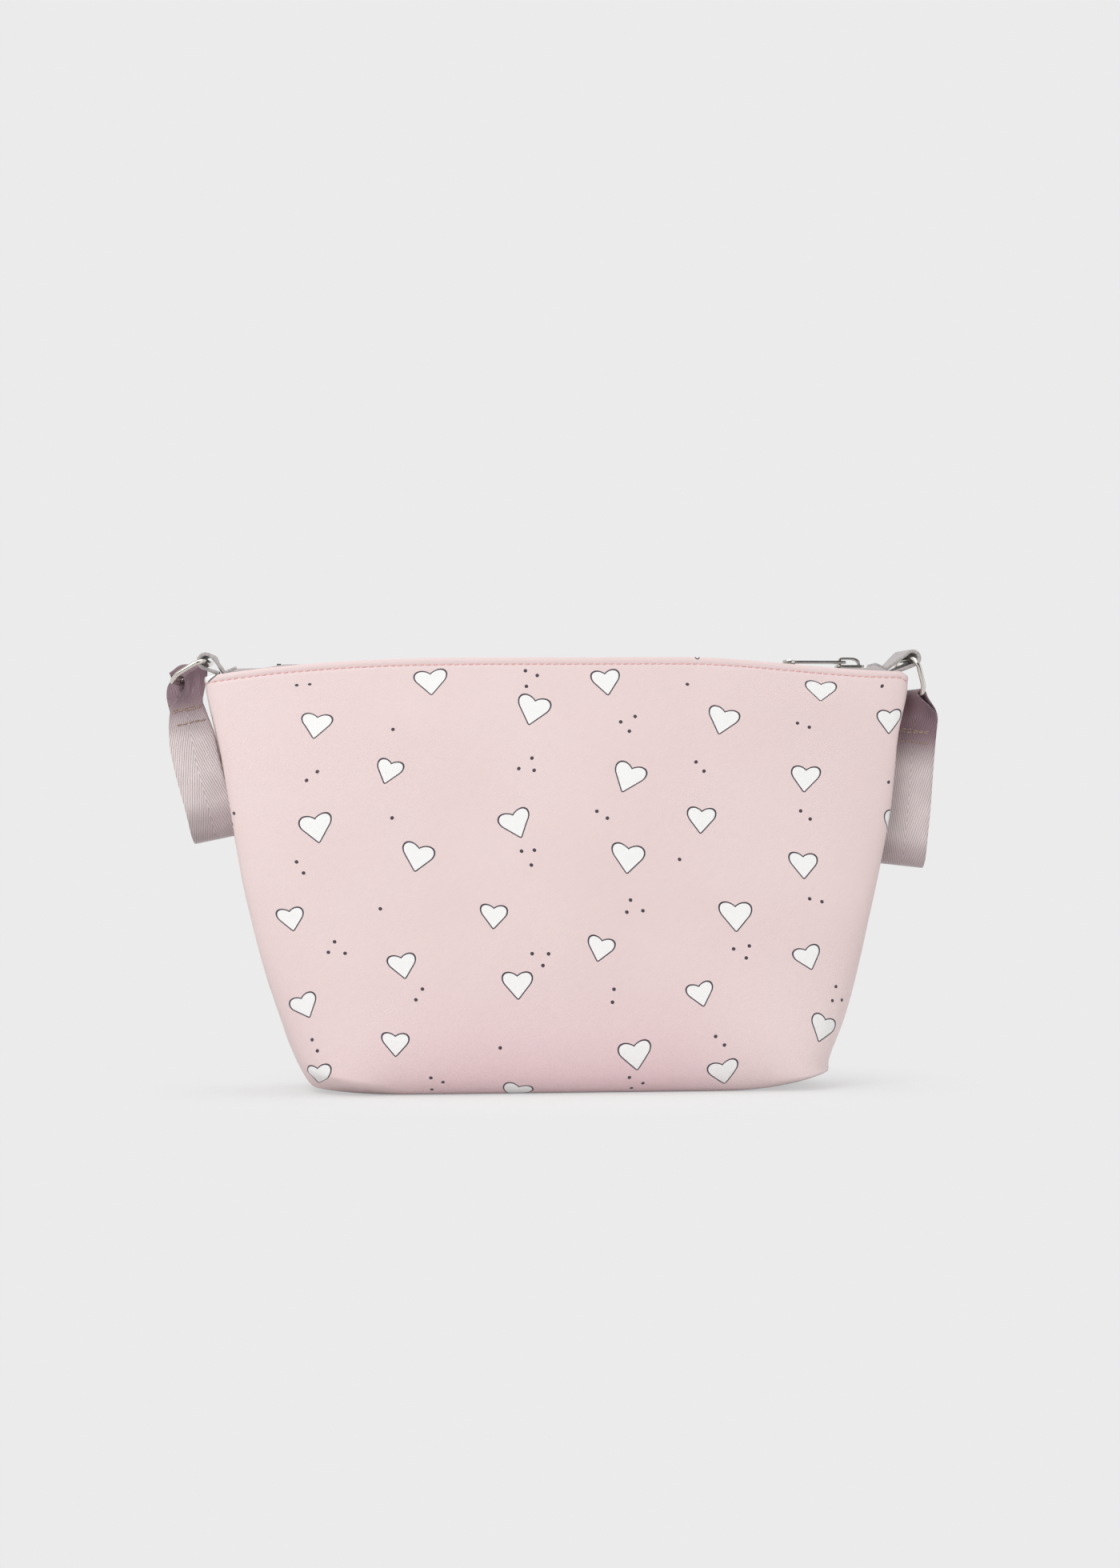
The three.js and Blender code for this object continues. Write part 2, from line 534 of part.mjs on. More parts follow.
function pullGeometry() {
  const shape = new THREE.Shape();
  const tail = PULL_BAR / 2;
  shape.moveTo(tail, -PULL_EYE_HALF + 0.6);
  shape.lineTo(tail, PULL_EYE_HALF - 0.6);
  shape.quadraticCurveTo(tail, PULL_EYE_HALF, tail - 0.6, PULL_EYE_HALF);
  shape.lineTo(-PULL_SHOULDER, PULL_EYE_HALF);
  shape.quadraticCurveTo(-PULL_TAPER, PULL_WAIST_HALF + 0.4, -PULL_LENGTH + 2, PULL_WAIST_HALF);
  shape.lineTo(-PULL_LENGTH + 2, -PULL_WAIST_HALF);
  shape.quadraticCurveTo(-PULL_TAPER, -PULL_WAIST_HALF - 0.4, -PULL_SHOULDER, -PULL_EYE_HALF);
  shape.lineTo(tail - 0.6, -PULL_EYE_HALF);
  shape.quadraticCurveTo(tail, -PULL_EYE_HALF, tail, -PULL_EYE_HALF + 0.6);
  const slot = new THREE.Path();
  slot.moveTo(-tail, -PULL_SLOT_HALF);
  slot.lineTo(-tail - PULL_SLOT, -PULL_SLOT_HALF);
  slot.lineTo(-tail - PULL_SLOT, PULL_SLOT_HALF);
  slot.lineTo(-tail, PULL_SLOT_HALF);
  slot.closePath();
  shape.holes.push(slot);
  const plate = upFrom(shape, -PULL_THICKNESS / 2, PULL_THICKNESS, 5);
  const half = PULL_END_THICKNESS / 2;
  const rim = [[PULL_END_HOLE, -half + 0.3], [PULL_END_HOLE + 0.3, -half], [PULL_END_RADIUS - 0.4, -half],
    [PULL_END_RADIUS, -half + 0.4], [PULL_END_RADIUS, half - 0.4], [PULL_END_RADIUS - 0.4, half],
    [PULL_END_HOLE + 0.3, half], [PULL_END_HOLE, half - 0.3], [PULL_END_HOLE, -half + 0.3]];
  const end = new THREE.LatheGeometry(rim.map(([x, y]) => new THREE.Vector2(x, y)), 24);
  end.rotateX(Math.PI / 2);
  end.translate(-PULL_LENGTH, 0, 0);
  const geometry = join([plate, end]);
  geometry.translate(SLIDER_AT - PULL_PIVOT_BACK, 0, ZIP_HEIGHT + PLATE_HIGH + PULL_PIVOT_RISE);
  return geometry;
}

// The tab's side view: a tail sewn on the tape's end and a loop for the ring's bar, turned outward in front.
function tabGeometry(eye) {
  const outer = TAB_EYE_RADIUS + TAB_THICKNESS;
  const toward = eye.clone().sub(TAB_TIP);
  const lean = toward.angle();
  const open = Math.asin(outer / toward.length());
  const rest = (x) => tapeHeight(x) + TAPE_THICKNESS / 2 + GAP;
  const upper = lean + open + Math.PI / 2;
  const lower = lean - open - Math.PI / 2;
  const shape = new THREE.Shape();
  shape.moveTo(TAB_START, rest(TAB_START));
  shape.lineTo(TAPE_HALF_LENGTH - 0.6, rest(TAPE_HALF_LENGTH - 0.6));
  for (const angle of span(lower, upper, 16)) {
    shape.lineTo(eye.x + outer * Math.cos(angle), eye.y + outer * Math.sin(angle));
  }
  shape.lineTo(TAB_TIP.x, TAB_TIP.y + TAB_THICKNESS);
  shape.lineTo(TAB_START, rest(TAB_START) + TAB_THICKNESS);
  shape.closePath();
  const hole = new THREE.Path();
  const tip = eye.clone().addScaledVector(toward.clone().normalize(), -TAB_EYE_RADIUS - 1.6);
  hole.moveTo(tip.x, tip.y);
  const spread = Math.asin(TAB_EYE_RADIUS / (TAB_EYE_RADIUS + 1.6));
  for (const angle of span(lean - spread - Math.PI / 2, lean + spread + Math.PI / 2, 14)) {
    hole.lineTo(eye.x + TAB_EYE_RADIUS * Math.cos(angle), eye.y + TAB_EYE_RADIUS * Math.sin(angle));
  }
  hole.closePath();
  shape.holes.push(hole);
  const geometry = alongY(shape, TAB_WIDTH);
  const places = geometry.getAttribute('position');
  const slant = Math.tan(END_TURN * RADIANS);
  for (let i = 0; i < places.count; i += 1) {
    const x = places.getX(i);
    places.setX(i, x - places.getY(i) * slant * smooth(TAB_TIP.x, eye.x - 1, x));
  }
  return geometry;
}

// Turns a piece that was built about the ring's bar and moves it to the zip's end.
function atEnd(geometry, bar) {
  geometry.rotateZ(END_TURN * RADIANS);
  geometry.translate(bar.x, 0, bar.y);
  return geometry;
}

// Direction along a ring's side wires, from the tab's bar to the far bar.
function wireDirection(angle) {
  return new THREE.Vector3(Math.cos(angle * RADIANS), 0, -Math.sin(angle * RADIANS));
}

// A rectangular wire ring hanging from the tab, for the right end; the left one is mirrored.
function ringGeometry(angle, bar) {
  const path = new THREE.Shape();
  const reach = RING_REACH;
  path.moveTo(0, -RING_HALF + RING_CORNER);
  path.lineTo(0, RING_HALF - RING_CORNER);
  path.absarc(RING_CORNER, RING_HALF - RING_CORNER, RING_CORNER, Math.PI, Math.PI / 2, true);
  path.lineTo(reach - RING_CORNER, RING_HALF);
  path.absarc(reach - RING_CORNER, RING_HALF - RING_CORNER, RING_CORNER, Math.PI / 2, 0, true);
  path.lineTo(reach, -RING_HALF + RING_CORNER);
  path.absarc(reach - RING_CORNER, -RING_HALF + RING_CORNER, RING_CORNER, 0, -Math.PI / 2, true);
  path.lineTo(RING_CORNER, -RING_HALF);
  path.absarc(RING_CORNER, -RING_HALF + RING_CORNER, RING_CORNER, -Math.PI / 2, -Math.PI, true);
  const turn = angle * RADIANS;
  const points = path.getPoints(5).map(({ x, y }) => new THREE.Vector3(
    x * Math.cos(turn),
    y,
    -x * Math.sin(turn),
  ));
  const distinct = points.filter((point, i) => point.distanceTo(points[(i + 1) % points.length]) > 1e-6);
  const sides = 8;
  const up = new THREE.Vector3(Math.sin(turn), 0, Math.cos(turn));
  const rows = distinct.map((point, i) => {
    const before = distinct[(i + distinct.length - 1) % distinct.length];
    const after = distinct[(i + 1) % distinct.length];
    const into = point.clone().sub(before).normalize();
    const out = after.clone().sub(point).normalize();
    const along = into.clone().add(out).normalize();
    const side = along.clone().cross(up).multiplyScalar(1 / along.dot(out));
    return span(0, 2 * Math.PI, sides).slice(0, sides).map((a) => point.clone()
      .addScaledVector(side, WIRE_RADIUS * Math.cos(a))
      .addScaledVector(up, WIRE_RADIUS * Math.sin(a)));
  });
  const positions = rows.flat().flatMap((point) => [point.x, point.y, point.z]);
  const index = [];
  const at = (i, j) => (i % rows.length) * sides + (j % sides);
  for (let i = 0; i < rows.length; i += 1) {
    for (let j = 0; j < sides; j += 1) {
      index.push(at(i, j), at(i + 1, j), at(i, j + 1), at(i, j + 1), at(i + 1, j), at(i + 1, j + 1));
    }
  }
  const geometry = new THREE.BufferGeometry();
  geometry.setAttribute('position', new THREE.Float32BufferAttribute(positions, 3));
  geometry.setIndex(index);
  return atEnd(geometry, bar);
}

// Half distance of the strap's two layers at a length below the ring's bar.
function strapBelly(length) {
  const wrap = WIRE_RADIUS + GAP + STRAP_THICKNESS / 2;
  const sewn = (STRAP_THICKNESS + GAP) / 2;
  if (length < STRAP_SEWN_FROM) {
    return wrap + (sewn - wrap) * smooth(0, STRAP_SEWN_FROM, length);
  }
  return sewn + (STRAP_BELLY - sewn) * smooth(STRAP_SEWN_TO, STRAP_BELLY_AT, length);
}

// Side view of the strap's closed loop as points of offset and length, once round.
function strapLoop(reach) {
  const wrap = strapBelly(0);
  const end = reach - STRAP_BELLY;
  const side = [1.5, 3, 4.5, 6, 7.5, 9, 10.5, 12, 13.5, 15, 17, 19, 24, 29, 34, 40, 46, 52, 58, end];
  const points = [];
  for (const angle of span(Math.PI, 2 * Math.PI, 8)) {
    points.push(new THREE.Vector2(wrap * Math.cos(angle), wrap * Math.sin(angle)));
  }
  side.forEach((length) => points.push(new THREE.Vector2(strapBelly(length), length)));
  for (const angle of span(0, Math.PI, 10).slice(1, -1)) {
    points.push(new THREE.Vector2(STRAP_BELLY * Math.cos(angle), end + STRAP_BELLY * Math.sin(angle)));
  }
  side.slice().reverse().forEach((length) => points.push(new THREE.Vector2(-strapBelly(length), length)));
  return points;
}

// A strap's closed loop of webbing; place gives the point at an offset, a length and a place across it.
function strapSheet(reach, place) {
  const loop = strapLoop(reach);
  const edges = span(-STRAP_WIDTH / 2, STRAP_WIDTH / 2, 4);
  const layer = (distance) => loop.map((point, i) => {
    const before = loop[(i + loop.length - 1) % loop.length];
    const after = loop[(i + 1) % loop.length];
    const along = after.clone().sub(before).normalize();
    return edges.map((across) => place(point.x + along.y * distance, point.y - along.x * distance, across));
  });
  return sheetSolid(layer(STRAP_THICKNESS / 2), layer(-STRAP_THICKNESS / 2), true);
}

// The right webbing loop, round the ring's far bar and twisted below it.
function rightStrapGeometry() {
  const bar = wireDirection(RIGHT_RING_ANGLE).multiplyScalar(RING_REACH);
  const lean = RIGHT_STRAP_TILT * RADIANS;
  const down = new THREE.Vector3(-Math.sin(lean), 0, -Math.cos(lean));
  const outward = wireDirection(RIGHT_STRAP_TILT);
  const back = new THREE.Vector3(0, 1, 0);
  const place = (offset, length, across) => {
    const eased = smooth(0.5, RIGHT_STRAP_TWIST, length);
    const turn = (90 + (RIGHT_STRAP_TURN - 90) * eased) * RADIANS;
    const through = outward.clone().multiplyScalar(Math.sin(turn)).addScaledVector(back, Math.cos(turn));
    const wide = outward.clone().multiplyScalar(Math.cos(turn)).addScaledVector(back, -Math.sin(turn));
    return bar.clone()
      .addScaledVector(down, length)
      .addScaledVector(through, offset)
      .addScaledVector(wide, across + RIGHT_STRAP_SHIFT * eased);
  };
  return atEnd(strapSheet(RIGHT_STRAP_LENGTH, place), RIGHT_BAR);
}

// The left webbing loop, gathered over the ring's back wire; built for the right end and mirrored later.
function leftStrapGeometry() {
  const wire = wireDirection(LEFT_RING_ANGLE);
  const level = wireDirection(LEFT_STRAP_TILT);
  const lean = LEFT_STRAP_TILT * RADIANS;
  const down = new THREE.Vector3(-Math.sin(lean), 0, -Math.cos(lean));
  const square = new THREE.Vector3(wire.z, 0, -wire.x);
  const back = new THREE.Vector3(0, 1, 0);
  const seat = wire.clone().multiplyScalar(LEFT_STRAP_SEAT).addScaledVector(back, RING_HALF);
  const place = (offset, length, across) => {
    const wide = wire.clone().lerp(level, smooth(0, LEFT_STRAP_LEVEL, length)).normalize();
    const share = LEFT_STRAP_PINCH + (1 - LEFT_STRAP_PINCH) * smooth(0, LEFT_STRAP_SPREAD, length);
    const shift = LEFT_STRAP_SHIFT * smooth(1, LEFT_STRAP_SHIFT_END, length)
      - LEFT_STRAP_RETURN * smooth(STRAP_SEWN_FROM, LEFT_STRAP_SPREAD, length);
    const forward = LEFT_STRAP_FORWARD * smooth(1, LEFT_STRAP_FORWARD_END, length);
    return seat.clone()
      .addScaledVector(length < 0 ? square : down, length)
      .addScaledVector(back, offset - forward)
      .addScaledVector(wide, across * share + shift);
  };
  return atEnd(strapSheet(LEFT_STRAP_LENGTH, place), LEFT_BAR);
}

const materials = {
  pink: new THREE.MeshStandardMaterial({ color: '#ead6d6', roughness: 0.45, metalness: 0 }),
  lining: new THREE.MeshStandardMaterial({ color: '#b9b1b1', roughness: 0.9, metalness: 0 }),
  tape: new THREE.MeshStandardMaterial({ color: '#bab3b3', roughness: 0.85, metalness: 0 }),
  teeth: new THREE.MeshStandardMaterial({ color: '#aaa3a4', roughness: 0.4, metalness: 0 }),
  metal: new THREE.MeshStandardMaterial({ color: '#c9c9cb', roughness: 0.15, metalness: 1 }),
  tab: new THREE.MeshStandardMaterial({ color: '#a39d9d', roughness: 0.55, metalness: 0 }),
  webbing: new THREE.MeshStandardMaterial({ color: '#b9a9aa', roughness: 0.9, metalness: 0 }),
};

const bag = new THREE.Group();
bag.name = 'toiletry_bag';

// Adds a named mesh, turned outward if its triangles enclose a negative volume.
function add(name, geometry, material) {
  const bare = tidy(geometry);
  const p = bare.getAttribute('position');
  const corner = (i) => new THREE.Vector3().fromBufferAttribute(p, bare.index.array[i]);
  let volume = 0;
  for (let i = 0; i < bare.index.count; i += 3) {
    volume += corner(i).dot(corner(i + 1).cross(corner(i + 2)));
  }
  if (volume < 0) {
    const turned = [...bare.index.array];
    for (let i = 0; i < turned.length; i += 3) {
      turned.splice(i, 3, turned[i], turned[i + 2], turned[i + 1]);
    }
    bare.setIndex(turned);
  }
  bare.computeVertexNormals();
  const mesh = new THREE.Mesh(bare, material);
  mesh.name = name;
  bag.add(mesh);
}

const panel = panelGeometry();
const lining = liningGeometry();
const tape = tapeGeometry();
const leaf = leafGeometry();
const stop = alongX(stopProfile(), STOP_LENGTH, TOP_STOP_AT);

add('front_panel', panel, materials.pink);
add('back_panel', mirrored(panel, 'y'), materials.pink);
add('front_lining', lining, materials.lining);
add('back_lining', mirrored(lining, 'y'), materials.lining);
add('front_zip_tape', tape, materials.tape);
add('back_zip_tape', mirrored(tape, 'y'), materials.tape);
add('front_zip_leaf', leaf, materials.tape);
add('back_zip_leaf', mirrored(leaf, 'y'), materials.tape);
add('front_zip_teeth', teethGeometry(0.25), materials.teeth);
add('back_zip_teeth', mirrored(teethGeometry(0.75), 'y'), materials.teeth);
add('zip_slider', sliderGeometry(), materials.metal);
add('zip_pull', pullGeometry(), materials.metal);
add('front_top_stop', stop, materials.metal);
add('back_top_stop', mirrored(stop, 'y'), materials.metal);
add('zip_bottom_stop', alongX(bottomStopProfile(), STOP_LENGTH, BOTTOM_STOP_AT), materials.metal);
add('left_ring_tab', mirrored(tabGeometry(LEFT_EYE), 'x'), materials.tab);
add('right_ring_tab', tabGeometry(RIGHT_EYE), materials.tab);
add('left_ring', mirrored(ringGeometry(LEFT_RING_ANGLE, LEFT_BAR), 'x'), materials.metal);
add('right_ring', ringGeometry(RIGHT_RING_ANGLE, RIGHT_BAR), materials.metal);
add('left_strap', mirrored(leftStrapGeometry(), 'x'), materials.webbing);
add('right_strap', rightStrapGeometry(), materials.webbing);

export default bag;
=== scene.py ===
# %% [markdown]
# # A zipped toiletry bag in pink embossed vinyl
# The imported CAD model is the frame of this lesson. It holds the sizes, the bodies and the joints of the bag.
# We dress it here: a soft lofted shell with a printed skin, a zip, two wire rings and two webbing loops.
# Everything is in metres in Blender, so sizes are written in millimetres and scaled once.

# %% Load the frame
import json
import math

import bmesh
import bpy
import numpy as np
from mathutils import Matrix, Vector

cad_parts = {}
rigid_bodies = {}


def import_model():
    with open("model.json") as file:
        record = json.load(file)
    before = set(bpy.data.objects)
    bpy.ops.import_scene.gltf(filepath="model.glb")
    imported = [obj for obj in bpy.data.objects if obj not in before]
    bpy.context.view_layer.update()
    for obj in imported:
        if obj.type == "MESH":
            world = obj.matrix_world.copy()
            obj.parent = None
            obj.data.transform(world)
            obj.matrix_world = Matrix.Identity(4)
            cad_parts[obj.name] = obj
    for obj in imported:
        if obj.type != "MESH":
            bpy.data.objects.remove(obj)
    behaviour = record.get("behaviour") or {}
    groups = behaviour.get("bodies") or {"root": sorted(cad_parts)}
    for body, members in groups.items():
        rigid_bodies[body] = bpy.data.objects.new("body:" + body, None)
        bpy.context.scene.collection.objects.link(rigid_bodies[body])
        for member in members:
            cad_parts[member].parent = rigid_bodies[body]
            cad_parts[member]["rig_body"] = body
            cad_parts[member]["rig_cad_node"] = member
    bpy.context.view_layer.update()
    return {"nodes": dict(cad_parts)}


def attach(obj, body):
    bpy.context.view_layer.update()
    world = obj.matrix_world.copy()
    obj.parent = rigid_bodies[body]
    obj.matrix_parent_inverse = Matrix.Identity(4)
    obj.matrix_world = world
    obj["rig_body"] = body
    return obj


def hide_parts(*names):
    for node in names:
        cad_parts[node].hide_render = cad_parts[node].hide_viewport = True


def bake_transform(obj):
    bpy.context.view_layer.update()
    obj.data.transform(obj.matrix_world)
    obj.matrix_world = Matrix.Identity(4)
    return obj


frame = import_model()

MM = 0.001
ENDS = {"left": -1, "right": 1}  # the bag's two ends, with the sign of X there

# %% [markdown]
# ## Camera
# The photograph looks at the front from a little above half its height, slightly from the left, by a long lens.
# One pixel there is about a third of a millimetre on the bag, which gives the lens once the distance is chosen.
# The camera comes first, so that every later piece can be judged in its frame.

# %% Place the camera
PHOTO_HEIGHT = 1960
MM_PER_PIXEL = 0.347
EYE_DISTANCE = 1200
EYE_HEIGHT = 115
EYE_TURN = math.radians(-7)  # the camera stands a little to the left of the bag's middle
AIM = Vector((-0.1, -7, 132))  # the middle of the picture, on the bag's top edge plane

eye = Vector((AIM.x + EYE_DISTANCE * math.sin(EYE_TURN), AIM.y - EYE_DISTANCE * math.cos(EYE_TURN), EYE_HEIGHT))
bpy.ops.object.camera_add(location=eye * MM)
camera = bpy.context.active_object
camera.name = "camera"
camera.rotation_euler = (AIM - eye).to_track_quat("-Z", "Y").to_euler()
camera.data.sensor_width = 36
camera.data.lens = camera.data.sensor_width * EYE_DISTANCE / (PHOTO_HEIGHT * MM_PER_PIXEL)
bpy.context.scene.camera = camera
print("lens", round(camera.data.lens, 1), "mm")

# %% [markdown]
# ## Tools for modelling
# These small functions do what the hand does between two steps: pick one piece, go in and out of edit mode,
# copy or join pieces, turn faces outward, add a modifier and apply it.

# %% Helpers for picking and editing
def start():
    """Object mode with nothing selected."""
    if bpy.context.mode != "OBJECT":
        leave()
    bpy.ops.object.select_all(action="DESELECT")


def leave():
    bpy.ops.object.mode_set(mode="OBJECT")


def pick(*pieces):
    """Selects the pieces, the first one active."""
    start()
    for obj in pieces:
        obj.select_set(True)
    bpy.context.view_layer.objects.active = pieces[0]


def edit(obj):
    """Edit mode on one piece, all of it selected."""
    pick(obj)
    bpy.ops.object.mode_set(mode="EDIT")
    bpy.ops.mesh.select_all(action="SELECT")


def named(name):
    """Names the active piece and its mesh."""
    obj = bpy.context.active_object
    obj.name = obj.data.name = name
    return obj


def twin(obj, name):
    """A copy with its own mesh."""
    pick(obj)
    bpy.ops.object.duplicate()
    return named(name)


def joined(name, pieces):
    pick(*pieces)
    bpy.ops.object.join()
    return named(name)


def outward(obj):
    """Turns the faces outward after merging what meets."""
    edit(obj)
    bpy.ops.mesh.remove_doubles(threshold=1e-7)
    bpy.ops.mesh.normals_make_consistent(inside=False)
    leave()


def turned_over(obj):
    """Turns every face the other way."""
    edit(obj)
    bpy.ops.mesh.flip_normals()
    leave()
    return obj


def modify(obj, kind, **settings):
    """Adds a modifier, sets it and applies it."""
    pick(obj)
    modifier = obj.modifiers.new(kind.lower(), kind)
    for key, value in settings.items():
        setattr(modifier, key, value)
    bpy.ops.object.modifier_apply(modifier=modifier.name)


def smooth_by(obj, degrees):
    pick(obj)
    bpy.ops.object.shade_smooth_by_angle(angle=math.radians(degrees))


# %% [markdown]
# ## Lofts
# Most pieces here are lofts: one outline is extruded to the next, ring after ring, and each ring is moved into place.
# By hand that is a circle, then extrude and scale many times. In code the extrude is the same operator,
# and the new ring is set to points that a formula gives. A grid of the rings' points is kept, for the UV map.

# %% Loft helpers
def loft(name, rings):
    """Extrudes the first ring to each next one. Returns the object and its vertex numbers, ring by ring."""
    count = len(rings[0])
    start()
    bpy.ops.mesh.primitive_circle_add(vertices=count, radius=0.01)
    obj = named(name)
    bpy.ops.object.mode_set(mode="EDIT")
    mesh = bmesh.from_edit_mesh(obj.data)
    mesh.verts.ensure_lookup_table()
    for vert, point in zip(mesh.verts, rings[0]):
        vert.co = Vector(point) * MM
    grid = [list(range(count))]
    for ring in rings[1:]:
        bpy.ops.mesh.extrude_edges_move()
        mesh = bmesh.from_edit_mesh(obj.data)
        mesh.verts.ensure_lookup_table()
        mesh.verts.index_update()
        column = {number: j for j, number in enumerate(grid[-1])}
        row = [0] * count
        for vert in mesh.verts[len(mesh.verts) - count:]:
            below = (edge.other_vert(vert).index for edge in vert.link_edges)
            j = next(column[number] for number in below if number in column)
            vert.co = Vector(ring[j]) * MM
            row[j] = vert.index
        grid.append(row)
    bmesh.update_edit_mesh(obj.data)
    leave()
    return obj, np.array(grid)


def lay_uv(obj, grid, across, along, shift=None):
    """Writes a UV map in millimetres from the grid. Both tables have one column more, for where a ring closes."""
    rings, count = grid.shape
    place = {grid[k, j]: (k, j) for k in range(rings) for j in range(count)}
    layer = obj.data.uv_layers.new(name="cloth") if not obj.data.uv_layers else obj.data.uv_layers[0]
    layer.name = "cloth"
    for face in obj.data.polygons:
        spots = [place[number] for number in face.vertices]
        closing = max(j for k, j in spots) - min(j for k, j in spots) > 1
        for loop, (k, j) in zip(face.loop_indices, spots):
            j = count if closing and j == 0 else j
            layer.data[loop].uv = (across[k][j] + (shift(face.center) if shift else 0), along[k][j])


def ease(low, high, value):
    """From nought at low to one at high, level at both ends."""
    share = np.clip((np.asarray(value, float) - low) / (high - low), 0, 1)
    return share * share * (3 - 2 * share)


def hump(value, at, spread):
    """One at a place, falling to nought on both sides of it."""
    return np.exp(-((value - at) / spread) ** 2)


def run_length(points, axis=0):
    """Length along lines of points, from nought at the first one."""
    steps = np.cumsum(np.linalg.norm(np.diff(points, axis=axis), axis=-1), axis)
    return np.concatenate([np.zeros_like(steps.take([0], axis)), steps], axis)


def headings(line):
    """Direction at each point of a closed line."""
    ahead = np.roll(line, -1, 0) - np.roll(line, 1, 0)
    return ahead / np.maximum(np.linalg.norm(ahead, axis=1, keepdims=True), 1e-9)


# %% [markdown]
# ## The shape of the shell
# The bag is two panels sewn at the sides and along the bottom, with the bottom corners boxed.
# It is thin at the zip, full at the base and wider at the top, and its sides sink in between the panels.
# The outline at each height is a rounded rectangle; its width, depth and roundness change on the way up.
# These are the sizes of the CAD panels. The standing bag isn't quite even, so the rest is added here: its top edge
# runs level into the right corner, its left bottom corner folds in a crease, the right one stays sharper, and the left
# side gives way behind the strap that hangs there.

# %% Sizes of the shell
RIM_WIDTH, RIM_HEIGHT, MOUTH_DEPTH = 306, 186.4, 28
BASE_WIDTH, BASE_DEPTH = 224.5, 82
FLARE_EASE, BULGE_EASE = 2.05, 1.3  # how soon the ends flare and the faces bulge
RIM_SQUARENESS, BASE_SQUARENESS = 8, 4.5
LEFT_BOW = (9.0, 2.9)  # drop of the top edge to the left corner and how late it begins
RIGHT_DROP, RIGHT_NIP = 4.7, 2.0  # the right end drops early and runs level to a short fall at the corner
DROP_RUN, NIP_RUN = (0.35, 0.95), (0.965, 1)  # where these come in, as shares of half the width
CREST, CREST_AT, CREST_SPREAD = 0.7, 60, 55  # a slight rise of the top edge
FOLD_HEIGHT, FOLD_DEPTH, FOLD_WIDTH = 26, 16, 4  # the rounding from the faces into the base
GUSSET_DIP, GUSSET_SPREAD = 11.5, 0.6  # how far the sides sink in, and over what share of the depth
GUSSET_FOOT, GUSSET_TOP = (0.05, 0.45), (0.8, 1)  # shares of the height where that comes and goes
STRAP_PRESS, PRESS_AT, PRESS_TALL, PRESS_DEEP = 4.5, 118, 30, 17  # the left side behind its strap
LEFT_CREASE, CREASE_RISE, CREASE_FROM, CREASE_RUN = 4.2, 3.6, 77, 33  # the left corner's fold line climbs outward
RIGHT_CREASE = 3.0
LEFT_CORNER, RIGHT_CORNER = (70, 98), (78, 106)  # along the base, where each corner's fold comes in
LEFT_LEAN, LEAN_AT, LEAN_SPREAD = 2.7, 18, 26  # the left side leans in low down
RIGHT_LEAN, RIGHT_FOOT, FOOT_SPREAD = 0.4, 9, 5  # the right side leans out, most at its foot
LEAN_END = (100, 150)  # heights between which it comes upright
FRONT_FLARE = ((1.0, 95, 125), (1.5, 155, 178))  # outward at the front panel's right edge, between two heights
FLARE_SPREAD = 10  # the side seam behind that edge stays back
LEFT_LIFT, RIGHT_LIFT, BASE_FLAT, LIFT_REACH, LIFT_HEIGHT = 3, 5, 70, 40, 70  # the base's ends leave the ground
SPINE_SHARE = 0.86  # length of the bottom seam as a share of the base's
SEAM_GAP = 0.3  # between the two panels
STITCH_DEPTH = 3.0  # the topstitch row below the top edge
TURN_WEIGHT = 40  # points lie closer where the outline turns, as if a radian were so long
print("shell", RIM_WIDTH, "mm wide at the top,", BASE_WIDTH, "at the base and", RIM_HEIGHT, "high")


# %% The shell's outlines
def rim_height(x):
    out = np.abs(x) / (RIM_WIDTH / 2)
    right = RIGHT_DROP * ease(*DROP_RUN, out) + RIGHT_NIP * ease(*NIP_RUN, out)
    drop = np.where(np.asarray(x) < 0, LEFT_BOW[0] * out ** LEFT_BOW[1], right)
    return RIM_HEIGHT - drop + CREST * hump(x, CREST_AT, CREST_SPREAD)


def corner_lift(x, z):
    out = np.maximum(0, (np.abs(x) - BASE_FLAT) / LIFT_REACH)
    low = np.maximum(0, 1 - z / LIFT_HEIGHT)
    return np.where(np.asarray(x) < 0, LEFT_LIFT, RIGHT_LIFT) * out ** 2 * low ** 2


def outline_size(share):
    """Half width, half depth and squareness of the outline at a share of the height."""
    width = BASE_WIDTH / 2 + (RIM_WIDTH - BASE_WIDTH) / 2 * (1 - (1 - share) ** FLARE_EASE)
    depth = MOUTH_DEPTH / 2 + (BASE_DEPTH - MOUTH_DEPTH) / 2 * (1 - share ** BULGE_EASE)
    return width, depth, BASE_SQUARENESS + (RIM_SQUARENESS - BASE_SQUARENESS) * share ** 2


